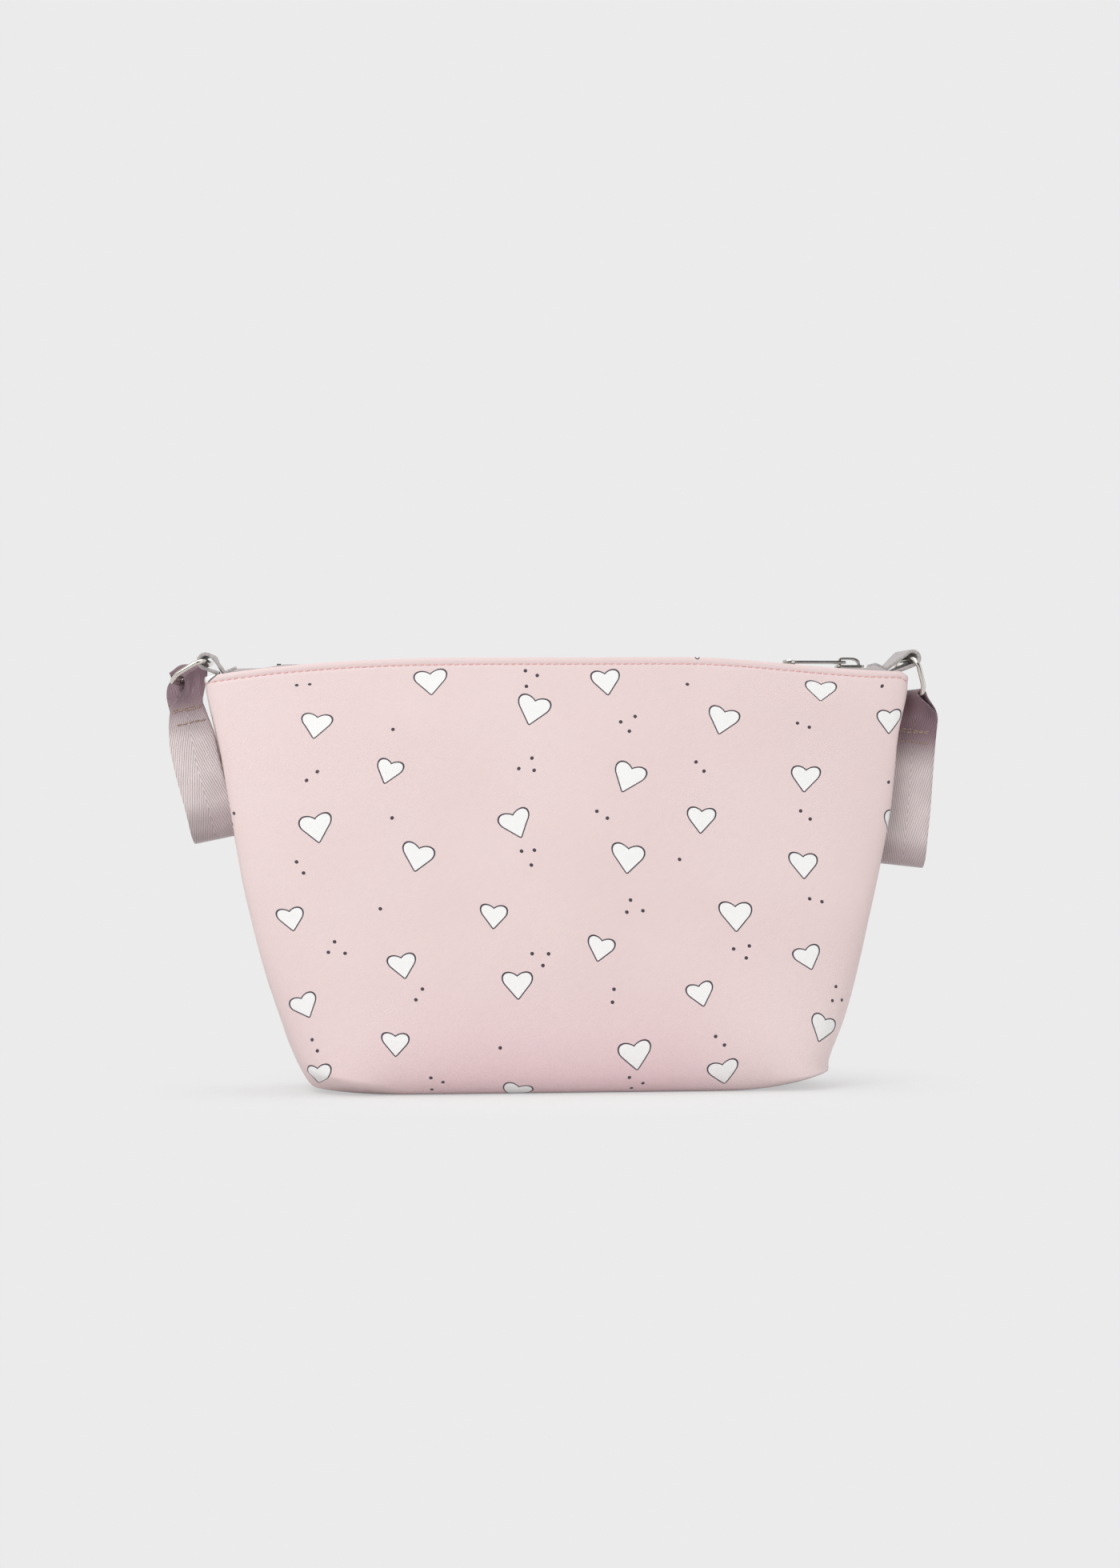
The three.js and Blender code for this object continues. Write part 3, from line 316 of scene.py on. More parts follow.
def half_outline(share, inside, columns):
    """Front half of the outline at a share of the height, from the left seam to the right one."""
    fold = max(0, 1 - share * RIM_HEIGHT / FOLD_HEIGHT)
    tuck = 1 - math.sqrt(1 - fold * fold)
    width, depth, square = outline_size(share)
    width -= FOLD_WIDTH * tuck + inside * (1 - tuck)
    depth -= FOLD_DEPTH * tuck + inside * (1 - tuck)
    angle = np.linspace(math.pi, 2 * math.pi, 2401)
    c, s = np.cos(angle), np.sin(angle)
    radius = (np.abs(c / width) ** square + np.abs(s / depth) ** square) ** (-1 / square)
    x, y = radius * c, radius * s
    # the sides sink in between the panels, the left one also behind its strap
    dip = GUSSET_DIP * ease(*GUSSET_FOOT, share) * (1 - ease(*GUSSET_TOP, share))
    x = x - np.sign(x) * dip * hump(y, 0, GUSSET_SPREAD * depth) * (x / width) ** 4
    press = STRAP_PRESS * hump(share * RIM_HEIGHT, PRESS_AT, PRESS_TALL)
    x = x + np.where(x < 0, press * hump(y, 0, PRESS_DEEP) * (x / width) ** 4, 0)
    # even steps, closer together where the outline turns
    step = np.hypot(np.diff(x), np.diff(y))
    heading = np.unwrap(np.arctan2(np.diff(y), np.diff(x)))
    turn = np.concatenate([[0], np.abs(np.diff(heading))])
    reach = np.concatenate([[0], np.cumsum(step + TURN_WEIGHT * turn)])
    wanted = np.linspace(0, reach[-1], columns + 1)
    x, y = np.interp(wanted, reach, x), np.interp(wanted, reach, y)
    z = share * rim_height(x)
    # the crease at the left corner and the sharper fold at the right one
    climb = LEFT_CREASE + CREASE_RISE * np.clip((-x - CREASE_FROM) / CREASE_RUN, 0, 1)
    sharp = np.clip(1 - z / np.where(x < 0, climb, RIGHT_CREASE), 0, 1)
    weight = np.where(x < 0, ease(*LEFT_CORNER, -x), ease(*RIGHT_CORNER, x))
    y = y * (1 + weight * FOLD_DEPTH * (tuck - sharp) / depth)
    right = RIGHT_LEAN * (1 - ease(*LEAN_END, z)) + RIGHT_FOOT * np.exp(-z / FOOT_SPREAD)
    x = x + np.where(x < 0, LEFT_LEAN * hump(z, LEAN_AT, LEAN_SPREAD), right) * (x / width) ** 2
    return x, y, z, inside * fold


def bag_ring(share, inside, columns):
    """The whole outline as points: front left to right, then back right to left."""
    x, y, z, rise = half_outline(share, inside, columns)
    z = z + rise + corner_lift(x, z)
    front = np.stack([x, y, z], 1)
    back = (front * (1, -1, 1))[-2:0:-1]
    # the front panel's right edge stands out a little more than the back one's
    flare = sum(far * ease(low, high, z) for far, low, high in FRONT_FLARE)
    front[:, 0] += np.where(x > 0, flare * (2 * x / RIM_WIDTH) ** 4 * (1 - hump(y, 0, FLARE_SPREAD)), 0)
    return np.concatenate([front, back])


def pushed(ring, amount):
    """A ring moved outward, level, by an amount for each point."""
    along = headings(ring[:, :2])
    moved = ring.copy()
    moved[:, 0] += along[:, 1] * amount
    moved[:, 1] -= along[:, 0] * amount
    return moved


print("outline at half height", [round(v, 1) for v in outline_size(0.5)])

# %% [markdown]
# ## Panels
# Each panel is a sheet of vinyl 1.2 mm thick whose top edge is folded in and topstitched, so there is a soft roll
# over a shallow groove. We loft both panels as one shell from the rim down and in along the base, let the cloth
# swell and dent a little, split it at the seams, and give each half its thickness with Solidify.

# %% Rings of the shell, from the rim down
COLUMNS = 110
DEPTHS = [0, 0.3, 0.8, 1.4, 2.0, 2.4, 2.7, 3.0, 3.3, 3.6, 4.1, 5, 6.5, 9, 12, 16, 21, 27, 34, 42, 51, 61, 71, 81, 91,
          101, 111, 120, 128, 135, 141, 147, 152, 156.5, 160.5, 164, 167, 170, 172.5, 175, 177, 178.5, 179.7, 180.7,
          181.6, 182.4, 183.2, 184, 184.8, 185.5, 186, 186.4]
BASE_STEPS = [0.06, 0.14, 0.24, 0.36, 0.5, 0.64, 0.77, 0.88, 0.95, 1]
WAVE, RIPPLE = 0.7, 0.4  # heights of two sets of soft waves in the cloth
ROLL, GROOVE, PUCKER = 0.22, 0.3, 0.25  # of the top edge's roll, of the groove below it and of the side seams


def swell(ring, depth):
    """Soft waves of the standing cloth, the roll at the top edge and the groove under the stitches."""
    x, y, z = ring.T
    calm = ease(4, 40, z) * (1 - ease(150, 178, z)) * (1 - (np.abs(x) / 160) ** 6)
    face = np.sign(y)
    wave = WAVE * np.sin(x / 47 + 0.6 + face) * np.sin(z / 38 + 1.1) + RIPPLE * np.sin(x / 23 - z / 29 + 2 * face)
    roll = ROLL * hump(depth, 1.3, 0.9) - GROOVE * hump(depth, STITCH_DEPTH, 0.5)
    pucker = PUCKER * hump(y, 0, 5) * np.sin(z / 1.9 + x) * ease(6, 30, z) * (1 - ease(165, 180, z))
    return pushed(ring, wave * calm + roll + pucker)


def shell_rings(depths, inside, columns, soft):
    rings = []
    for depth in depths:
        ring = bag_ring(1 - depth / RIM_HEIGHT, inside, columns)
        rings.append(swell(ring, depth) if soft else ring)
    edge = rings[-1]
    for step in BASE_STEPS:
        x = edge[:, 0] * (1 - (1 - SPINE_SHARE) * step)
        y = edge[:, 1] * (1 - step)
        rings.append(np.stack([x, y, inside + corner_lift(x, 0)], 1))
    return rings


print("rings from the rim to the bottom seam", len(DEPTHS) + len(BASE_STEPS))

# %% Loft the shell and split it into two panels
PANEL_THICKNESS = 1.2
BACK_SHIFT = 61  # the back panel is cut from another part of the printed roll


def shell_halves(kind, depths, inside, columns, thickness, soft):
    """Lofts the shell, maps it and returns its front and back halves as sheets with a thickness."""
    rings = shell_rings(depths, inside, columns, soft)
    obj, grid = loft(kind, rings)
    points = np.array(rings)
    closed = np.concatenate([points, points[:, :1]], 1)
    across = run_length(closed, 1)
    across -= across[:, columns // 2:columns // 2 + 1]
    down = run_length(closed)
    middle = len(depths) // 2
    along = closed[middle, :, 2] - (down - down[middle])
    lay_uv(obj, grid, across, along, shift=lambda centre: BACK_SHIFT if centre.y > 0 else 0)
    edit(obj)
    mesh = bmesh.from_edit_mesh(obj.data)
    bpy.ops.mesh.select_all(action="DESELECT")
    for face in mesh.faces:
        face.select_set(face.calc_center_median().y > 0)
    bmesh.update_edit_mesh(obj.data)
    bpy.ops.mesh.separate(type="SELECTED")
    leave()
    halves = {"front": obj, "back": next(o for o in bpy.context.selected_objects if o != obj)}
    for (side, half), sign in zip(halves.items(), (-1, 1)):
        half.name = half.data.name = f"{side}_{kind}"
        for vert in half.data.vertices:
            vert.co.y = sign * max(sign * vert.co.y, SEAM_GAP / 2 * MM)
        outward(half)
        faces = half.data.polygons
        centre = Vector((0, 0, sum(face.center.z for face in faces) / len(faces)))
        if sum(face.normal.dot(face.center - centre) for face in faces) < 0:
            turned_over(half)
        modify(half, "SOLIDIFY", thickness=thickness * MM, offset=-1, use_even_offset=True, thickness_clamp=1.0)
    return halves


skins = shell_halves("skin", DEPTHS, 0, COLUMNS, PANEL_THICKNESS, True)
for skin in skins.values():
    modify(skin, "BEVEL", width=0.3 * MM, segments=2, limit_method="ANGLE", angle_limit=math.radians(55))
    smooth_by(skin, 50)
print("panel faces", [len(skin.data.polygons) for skin in skins.values()])

# %% [markdown]
# ## Lining
# Inside hangs a thin woven lining, cut like the panels and sewn in below the zip. It shows when the zip is open.
# The same loft makes it, a few millimetres further in.

# %% Loft the lining
LINING_INSIDE, LINING_THICKNESS, LINING_COLUMNS = 3.1, 0.5, 70  # inside the panel, the tape and the gaps between them
LINING_DEPTHS = [10.3, 13, 17, 23, 32, 44, 58, 72, 86, 100, 112, 123, 133, 142, 150, 157, 163, 168, 172.5, 176.5,
                 179.5, 182, 184, 185.5, 186.4]

cloths = shell_halves("inner_cloth", LINING_DEPTHS, LINING_INSIDE, LINING_COLUMNS, LINING_THICKNESS, False)
for cloth in cloths.values():
    smooth_by(cloth, 60)
print("lining faces", len(cloths["front"].data.polygons))

# %% [markdown]
# ## Topstitching
# A row of coral thread runs three millimetres below the top edge, about one stitch every three millimetres.
# One stitch is a small sphere drawn long and flat; copies follow the groove.

# %% Model one stitch and copy it along a line
def stitch_shape(length, radius):
    start()
    bpy.ops.mesh.primitive_uv_sphere_add(segments=8, ring_count=6, radius=1)
    obj = bpy.context.active_object
    edit(obj)
    bpy.ops.transform.rotate(value=math.pi / 2, orient_axis="Y", center_override=(0, 0, 0))
    bpy.ops.transform.resize(value=(length / 2 * MM, radius * MM, radius * 0.8 * MM))
    leave()
    return obj


def copies(name, source, places):
    """Copies a small piece to each place, a matrix, and joins the copies."""
    made = []
    for place in places:
        one = source.copy()
        one.data = source.data.copy()
        one.data.transform(place)
        bpy.context.scene.collection.objects.link(one)
        made.append(one)
    obj = joined(name, made)
    bpy.data.objects.remove(source)
    smooth_by(obj, 60)
    return obj


def along_line(line, normals, pitch, margin, tilt):
    """Matrices at even steps along a line of points in millimetres, X along it and Z along the normals."""
    line, normals = np.asarray(line, float), np.asarray(normals, float)
    reach = run_length(line)

    def at(table, length):
        return Vector([np.interp(length, reach, table[:, i]) for i in range(3)])

    places = []
    for length in np.arange(margin, reach[-1] - margin + 1e-6, pitch):
        x = (at(line, length + 0.5) - at(line, length - 0.5)).normalized()
        z = at(normals, length)
        z = (z - x * z.dot(x)).normalized()
        turn = Matrix((x, z.cross(x), z)).transposed() @ Matrix.Rotation(tilt, 3, "Z")
        places.append(Matrix.Translation(at(line, length) * MM) @ turn.to_4x4())
    return places


# %% Stitch the top edge
STITCH_LENGTH, STITCH_RADIUS, STITCH_PITCH = 2.4, 0.27, 3.05
STITCH_MARGIN, STITCH_TILT, STITCH_PROUD = 7.5, 0.12, 0.1

stitch_ring = swell(bag_ring(1 - STITCH_DEPTH / RIM_HEIGHT, 0, COLUMNS), STITCH_DEPTH)
out = pushed(stitch_ring, np.ones(len(stitch_ring))) - stitch_ring
thread_line = stitch_ring + out * STITCH_PROUD
stitches = {}
for side, first in (("front", 0), ("back", COLUMNS)):
    row = np.arange(first, first + COLUMNS + 1) % (2 * COLUMNS)
    places = along_line(thread_line[row], out[row], STITCH_PITCH, STITCH_MARGIN, STITCH_TILT)
    stitches[side] = copies(f"{side}_topstitch", stitch_shape(STITCH_LENGTH, STITCH_RADIUS), places)
print("stitch faces", len(stitches["front"].data.polygons))

# %% [markdown]
# ## Zip tape
# The tape is a narrow woven band. Its outer part is sewn inside the top edge, its ends are sewn down,
# and the part in between swings open when the zip is undone. The swinging part is cut in two at the middle.

# %% Sizes of the tapes
ZIP_HEIGHT, TAPE_HALF_LENGTH, TAPE_EDGE, TAPE_THICKNESS = 182.3, 146, 2.6, 0.7
TAPE_END_DROP, TAPE_DROP_START, TAPE_SKIRT = 3.2, 138.6, 11
LEAF_LEFT, LEAF_RIGHT, LEAF_MIDDLE = -106, 98, -4
SKIRT_MIDDLE = 2.15  # middle of the sewn tape behind the bag's surface
LEAF_OUTER = 2.8  # outer edge of the swinging tape behind the bag's surface
TAPE_LEFT_SINK = 1.8  # the left end lies lower, below the top edge
TAPE_RIGHT_RISE = 1.6  # the right end lies higher, beyond the slider
SINK_RUN, RISE_RUN = (118, 130), (133, 140)  # along the zip, where these come in
TAPE_REACH = 150.5  # the ends reach into the corners and close the bag there
TAPE_MEET = 0.2  # half of what is left between the tapes beyond the bottom stop
MEET_RUN = (123, 129)  # where they close up to that
SKIRT_LAP, LEAF_GAP = 0.5, 0.3  # the sewn part stands above the fold, and clear of the swinging part
STRIP_ROWS, STRIP_ACROSS = 6, 10  # a strip's steps across, and its width in the UV map
print("tape", 2 * TAPE_HALF_LENGTH, "mm long at a height of", ZIP_HEIGHT)


# %% Tools for strips of cloth
def cloth_strip(name, left, right, steps, place):
    """A grid shaped by a formula of x and a share across, with a UV map in millimetres and the tape's thickness."""
    start()
    bpy.ops.mesh.primitive_grid_add(x_subdivisions=steps, y_subdivisions=STRIP_ROWS, size=1)
    obj = named(name)
    shares = [(v.co.x + 0.5, v.co.y + 0.5) for v in obj.data.vertices]
    layer = obj.data.uv_layers[0]
    layer.name = "cloth"
    for loop in obj.data.loops:
        along, across = shares[loop.vertex_index]
        layer.data[loop.index].uv = (left + (right - left) * along, across * STRIP_ACROSS)
    for vert, (along, across) in zip(obj.data.vertices, shares):
        vert.co = Vector(place(left + (right - left) * along, across)) * MM
    outward(obj)
    modify(obj, "SOLIDIFY", thickness=TAPE_THICKNESS * MM, offset=0)
    smooth_by(obj, 40)
    return obj


def mirror_copy(obj):
    """A copy mirrored from front to back, with its faces turned outward again."""
    copy = twin(obj, obj.name.replace("front", "back"))
    copy.data.transform(Matrix.Scale(-1, 4, (0, 1, 0)))
    return turned_over(copy)


# %% Model the tapes
def front_face(x, z):
    width, depth, square = outline_size(min(1, z / rim_height(x)))
    return -depth * (1 - min(1, abs(x) / width) ** square) ** (1 / square)


def tape_height(x):
    out = (abs(x) - TAPE_DROP_START) / (TAPE_HALF_LENGTH - TAPE_DROP_START)
    shift = TAPE_RIGHT_RISE * float(ease(*RISE_RUN, x)) - TAPE_LEFT_SINK * float(ease(*SINK_RUN, -x))
    return ZIP_HEIGHT - TAPE_END_DROP * max(0, out) + shift


def skirt_place(x, across):
    z = tape_height(x) + SKIRT_LAP - across * (TAPE_SKIRT + SKIRT_LAP)
    return x, front_face(x, z) + SKIRT_MIDDLE, z


def end_place(x, across):
    outer = front_face(x, tape_height(x)) + SKIRT_MIDDLE
    inner = TAPE_MEET + (TAPE_EDGE - TAPE_MEET) * (1 - float(ease(*MEET_RUN, -x)))
    return x, -inner + (outer + inner) * across, tape_height(x)


def leaf_place(x, across):
    outer = front_face(x, ZIP_HEIGHT) + LEAF_OUTER
    return x, -TAPE_EDGE + (outer + TAPE_EDGE) * across, ZIP_HEIGHT


bands = {"front": joined("front_tape_band", [
    cloth_strip("skirt", -TAPE_HALF_LENGTH, TAPE_HALF_LENGTH, 80, skirt_place),
    cloth_strip("left_end", -TAPE_REACH, LEAF_LEFT - LEAF_GAP, 40, end_place),
    cloth_strip("right_end", LEAF_RIGHT + LEAF_GAP, TAPE_REACH, 40, end_place),
])}
bands["back"] = mirror_copy(bands["front"])
leaves = {"front": [cloth_strip("front_tape_leaf_left", LEAF_LEFT, LEAF_MIDDLE, 40, leaf_place),
                    cloth_strip("front_tape_leaf_right", LEAF_MIDDLE, LEAF_RIGHT, 40, leaf_place)]}
leaves["back"] = [mirror_copy(leaf) for leaf in leaves["front"]]
print("tape faces", len(bands["front"].data.polygons))

# %% [markdown]
# ## Zip chain, slider and pull
# These are rigid, and the CAD model has their true shapes with sharp edges. Real moulded nylon and plated metal
# have small rounded edges that catch the light. A copy of each CAD solid is merged, its flat faces are joined again,
# and a bevel rounds the edges. The chain is cut in two at the middle, like the tape that carries it.

# %% Round the edges of the zip's rigid pieces
def rounded_copy(node, name, width, segments=2):
    obj = twin(frame["nodes"][node], name)
    obj.parent = None
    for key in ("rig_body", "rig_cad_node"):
        del obj[key]
    edit(obj)
    bpy.ops.mesh.remove_doubles(threshold=1e-6)
    bpy.ops.mesh.dissolve_limited(angle_limit=math.radians(2))
    bpy.ops.mesh.normals_make_consistent(inside=False)
    leave()
    obj.data.materials.clear()
    modify(obj, "BEVEL", width=width * MM, segments=segments, limit_method="ANGLE", angle_limit=math.radians(40))
    smooth_by(obj, 35)
    return obj


def kept_side(obj, name, at, keep_left):
    """Cuts a copy at a plane across X, keeps one side and closes the cut."""
    copy = twin(obj, name)
    edit(copy)
    bpy.ops.mesh.bisect(plane_co=(at * MM, 0, 0), plane_no=(1, 0, 0), use_fill=True,
                        clear_inner=not keep_left, clear_outer=keep_left)
    leave()
    return copy


slider = rounded_copy("zip_slider", "slider_body", 0.22)
pull = rounded_copy("zip_pull", "pull_tab", 0.25)
chain = {}
for side in ("front", "back"):
    whole = rounded_copy(f"{side}_zip_teeth", f"{side}_chain", 0.14, 1)
    chain[side] = [kept_side(whole, f"{side}_chain_{end}", LEAF_MIDDLE, end == "left") for end in ENDS]
    bpy.data.objects.remove(whole)
print("slider faces", len(slider.data.polygons), "chain faces", len(chain["front"][0].data.polygons))

# %% [markdown]
# ## Tabs
# A short strip of grey faux leather is folded round each ring and sewn on the end of the zip.
# Its side view is a tail and a teardrop loop. A flat rounded section is lofted along that line.

# %% Loft the tabs
TAB_START, TAIL_END, TAB_END, TAB_FOOT = 139.5, 144.6, 145.6, 146.8  # along the zip
TAB_TIP = {-1: 179.0, 1: 180.8}  # height where the strip leaves the tape
TAB_EYE = {-1: (151.5, 184.2), 1: (155.3, 187.8)}  # middle of the loop, left and right
END_TURN = math.radians(8.5)  # loops, rings and straps are turned, near edge outward
TAB_EYE_RADIUS, TAB_THICKNESS, TAB_WIDTH, TAB_GAP = 2.3, 1.5, 16, 0.3  # the gap is over the tape


def band_section(width, thickness, steps, edge=0.25):
    """A flat section with rounded edges as pairs of across and through."""
    half, wall = width / 2, thickness / 2
    flat = np.linspace(-half + edge, half - edge, steps)
    rim = [(half - edge * 0.3, wall * 0.7), (half, wall * 0.25), (half, -wall * 0.25), (half - edge * 0.3, -wall * 0.7)]
    upper = [(a, wall) for a in flat] + rim
    return upper + [(-a, -t) for a, t in upper]


def lay_band(obj, grid, section, reach):
    """The UV map of a band: across it, and along its line."""
    across = np.tile([a for a, t in section] + [section[0][0]], (len(reach), 1))
    lay_uv(obj, grid, across, np.tile(reach[:, None], (1, len(section) + 1)))


def tab_line(side):
    """The middle of the strip in X and Z: tail, up over the eye, round and back to the tail."""
    radius = TAB_EYE_RADIUS + TAB_THICKNESS / 2
    tip, middle = np.array((TAB_END, TAB_TIP[side])), np.array(TAB_EYE[side])
    toward = middle - tip
    lean, spread = math.atan2(toward[1], toward[0]), math.asin(radius / np.linalg.norm(toward))
    upper, lower = lean + spread + math.pi / 2, lean - spread - math.pi / 2
    tail = [(x, tape_height(side * x) + TAPE_THICKNESS / 2 + TAB_GAP + TAB_THICKNESS / 2)
            for x in np.linspace(TAB_START, TAIL_END, 6)]
    arc = [middle + radius * np.array((math.cos(a), math.sin(a))) for a in np.linspace(upper, lower, 30)]
    rise = [np.array(tail[-1]) + (arc[0] - tail[-1]) * t for t in (0.2, 0.4, 0.6, 0.8)]
    foot = np.array((TAB_FOOT, TAB_TIP[side] + 0.2))
    back = [arc[-1] + (foot - arc[-1]) * t for t in (0.25, 0.5, 0.75, 1)]
    return np.array([*tail, *rise, *arc, *back])


def tab(name, side):
    line = tab_line(side)
    section = band_section(TAB_WIDTH, TAB_THICKNESS, 9)
    ahead = np.gradient(line, axis=0)
    ahead /= np.linalg.norm(ahead, axis=1, keepdims=True)
    rings = []
    for (x, z), (ax, az) in zip(line, ahead):
        slant = math.tan(END_TURN) * float(ease(TAB_END, TAB_EYE[side][0] - 1, x))
        rings.append(np.array([(side * (x - az * t - a * slant), a, z + ax * t) for a, t in section]))
    obj, grid = loft(name, rings)
    lay_band(obj, grid, section, run_length(line))
    edit(obj)
    for ring in (grid[0], grid[-1]):
        bpy.ops.mesh.select_all(action="DESELECT")
        mesh = bmesh.from_edit_mesh(obj.data)
        mesh.verts.ensure_lookup_table()
        for number in ring:
            mesh.verts[int(number)].select_set(True)
        mesh.select_flush(True)
        bpy.ops.mesh.edge_face_add()
    leave()
    outward(obj)
    smooth_by(obj, 45)
    return obj


tabs = {end: tab(f"{end}_leather_tab", side) for end, side in ENDS.items()}
print("tab faces", len(tabs["left"].data.polygons))

# %% [markdown]
# ## Rings
# Each ring is bent from plated wire, 2.2 mm thick, into a rectangle with rounded corners. One long bar lies in the tab,
# the other is for the strap. A round section is lofted along the wire's line and closed where it started.

# %% Loft the rings
RING_BAR = {-1: (151.7, 184.1), 1: (154.5, 187.4)}  # the bar in the tab, left and right
RING_REACH, RING_HALF, RING_CORNER, WIRE_RADIUS = 16.3, 12.2, 4, 1.1
RING_BOW = 1.5  # how far the two side wires arch above the ring's plane
RING_DROP = {-1: 32, 1: 76}  # degrees below level


def at_end(side, out, back, up):
    """A point measured from the ring's bar, turned about the upright and moved to that end of the zip."""
    x = RING_BAR[side][0] + out * math.cos(END_TURN) - back * math.sin(END_TURN)
    return side * x, out * math.sin(END_TURN) + back * math.cos(END_TURN), RING_BAR[side][1] + up


def arch(share):
    return math.sin(math.pi * min(1, max(0, share)))


def ring_bow(out):
    return RING_BOW * arch(out / RING_REACH)


def ring_wire(name, side):
    drop = math.radians(RING_DROP[side])
    near, far, half = RING_CORNER, RING_REACH - RING_CORNER, RING_HALF - RING_CORNER
    line = []
    for cx, cy, first in ((near, half, 180), (far, half, 90), (far, -half, 0), (near, -half, -90)):
        for angle in np.radians(np.linspace(first, first - 90, 9)):
            line.append((cx + RING_CORNER * math.cos(angle), cy + RING_CORNER * math.sin(angle)))
    line = np.array(line)
    rings = []
    for (x, y), (ax, ay) in zip(line, headings(line)):
        ring = []
        for a in np.linspace(0, 2 * math.pi, 20, endpoint=False):
            aside, up = WIRE_RADIUS * math.cos(a), WIRE_RADIUS * math.sin(a) + ring_bow(x)
            out, back = x + ay * aside, y - ax * aside
            ring.append(at_end(side, out * math.cos(drop) + up * math.sin(drop), back,
                               up * math.cos(drop) - out * math.sin(drop)))
        rings.append(np.array(ring))
    obj, _ = loft(name, [*rings, rings[0]])
    outward(obj)
    smooth_by(obj, 60)
    return obj


wires = {end: ring_wire(f"{end}_wire_ring", side) for end, side in ENDS.items()}
print("ring faces", len(wires["left"].data.polygons))

# %% [markdown]
# ## Webbing loops
# A band of herringbone webbing 20 mm wide is folded round each ring, sewn with two rows of thread and hangs in a
# loop. The right one lies on the ring's far bar, across the bag's depth, and twists a quarter to face forward.
# The left one has slipped to the ring's back wire, where it is gathered, and spreads out below it.
# The loop's line is a formula of the length below the wire; the flat section is lofted round it.

# %% The line of a loop
STRAP_WIDTH, STRAP_THICKNESS = 20, 1.1
STRAP_LENGTH = {-1: 72, 1: 75}
WIRE_SLACK, SEWN_SLACK = 0.45, 0.3  # room round the wire and between the sewn layers
SEWN_FROM, SEWN_TO, BELLY, BELLY_AT = 12, 19, 6, 55  # the layers meet, part again, and are widest


def belly(length):
    """Half the distance between the strap's two layers."""
    wrap, sewn = WIRE_RADIUS + WIRE_SLACK + STRAP_THICKNESS / 2, (STRAP_THICKNESS + SEWN_SLACK) / 2
    if length < SEWN_FROM:
        return wrap + (sewn - wrap) * float(ease(0, SEWN_FROM, length))
    return sewn + (BELLY - sewn) * float(ease(SEWN_TO, BELLY_AT, length))


def strap_line(side):
    wrap, end = belly(0), STRAP_LENGTH[side] - BELLY
    lengths = [*np.arange(0.8, 20, 0.8), *np.arange(20.5, end, 1.5), end]
    line = [(wrap * math.cos(a), wrap * math.sin(a)) for a in np.linspace(math.pi, 2 * math.pi, 13)]
    line += [(belly(length), length) for length in lengths]
    line += [(BELLY * math.cos(a), end + BELLY * math.sin(a)) for a in np.linspace(0, math.pi, 19)[1:-1]]
    line += [(-belly(length), length) for length in reversed(lengths)]
    return np.array(line)


print("points round the loops", [len(strap_line(side)) for side in ENDS.values()])

# %% Where a point of a loop lies
STRAP_TILT = {-1: 11.8, 1: 6.4}  # degrees, lower end toward the bag
BUNCH, BUNCH_AT, BUNCH_SPREAD = 0.45, 6, 4  # small folds of the cloth just below the ring
STRAP_TURN, TWIST_END, RIGHT_SLIP = 14, 11, 2.2  # the right strap's turn below its twist, the twist's length, its slip
SEAT, PINCH = 7.9, 0.56  # the left strap's place along the back wire, and its share of width there
LEFT_SLIP, LEFT_RETURN, LEFT_FORWARD = 6.2, 2.0, 10  # it slips outward and back, and comes forward from the wire
FOLD_RISE = 10  # degrees below level of the left strap's fold behind the ring
FOLD_SLIP, FOLD_WIDER, FOLD_ARCH = 5.2, 0.26, 2.2  # that fold lies further out, wider and higher


def slope(degrees):
    """Direction outward and down at an angle below level, as out and up."""
    return np.array((math.cos(math.radians(degrees)), -math.sin(math.radians(degrees))))


def right_place(offset, length, across, down):
    eased = float(ease(-1, TWIST_END, length))
    turn = math.radians(90 + (STRAP_TURN - 90) * eased)
    wide = across + RIGHT_SLIP * eased
    out = slope(RING_DROP[1]) * RING_REACH + down * length
    out += slope(STRAP_TILT[1]) * (offset * math.sin(turn) + wide * math.cos(turn))
    return out, offset * math.cos(turn) - wide * math.sin(turn)


def left_place(offset, length, across, down):
    wire = slope(RING_DROP[-1])
    above = np.array((-wire[1], wire[0]))
    toward = wire + (slope(STRAP_TILT[-1]) - wire) * float(ease(0, 14, length))
    # behind the ring the cloth stands up and out past the wire's end, in front it passes under the ring's far bar
    behind = float(ease(-1.3, 1.5, offset) * (1 - ease(3, 16, length)))
    toward = toward + (slope(FOLD_RISE) - toward) * behind
    spread = behind * (0.72 + 0.28 * float(ease(-1.5, 3.5, length)))  # less at the top rounds the fold's corner
    share = PINCH + (1 - PINCH) * float(ease(0, 32, length)) + FOLD_WIDER * spread
    slip = LEFT_SLIP * float(ease(1, 14, length)) - LEFT_RETURN * float(ease(30, 66, length)) + FOLD_SLIP * spread
    wide = across * share + slip
    out = wire * SEAT + (down if length > 0 else -above) * length + toward / np.linalg.norm(toward) * wide
    lift = ring_bow(SEAT + wide) * (1 - float(ease(0, 12, length))) + FOLD_ARCH * behind * arch((wide + 2) / 14)
    return out + above * lift, RING_HALF + offset - LEFT_FORWARD * float(ease(1, 22, length))


def strap_point(side, offset, length, across):
    """A point of the strap: how far through the loop, how far below the wire and where across the band."""
    lean = math.radians(STRAP_TILT[side])
    down = np.array((-math.sin(lean), -math.cos(lean)))
    bunch = BUNCH * math.exp(-((length - BUNCH_AT) / BUNCH_SPREAD) ** 2)
    offset = offset + bunch * math.sin(across * 0.7 + length * 0.4 + side)
    (out, up), back = (right_place if side > 0 else left_place)(offset, length, across, down)
    return np.array(at_end(side, out, back, up))


print("left loop's lowest point", strap_point(-1, 0, STRAP_LENGTH[-1], 0).round(1))

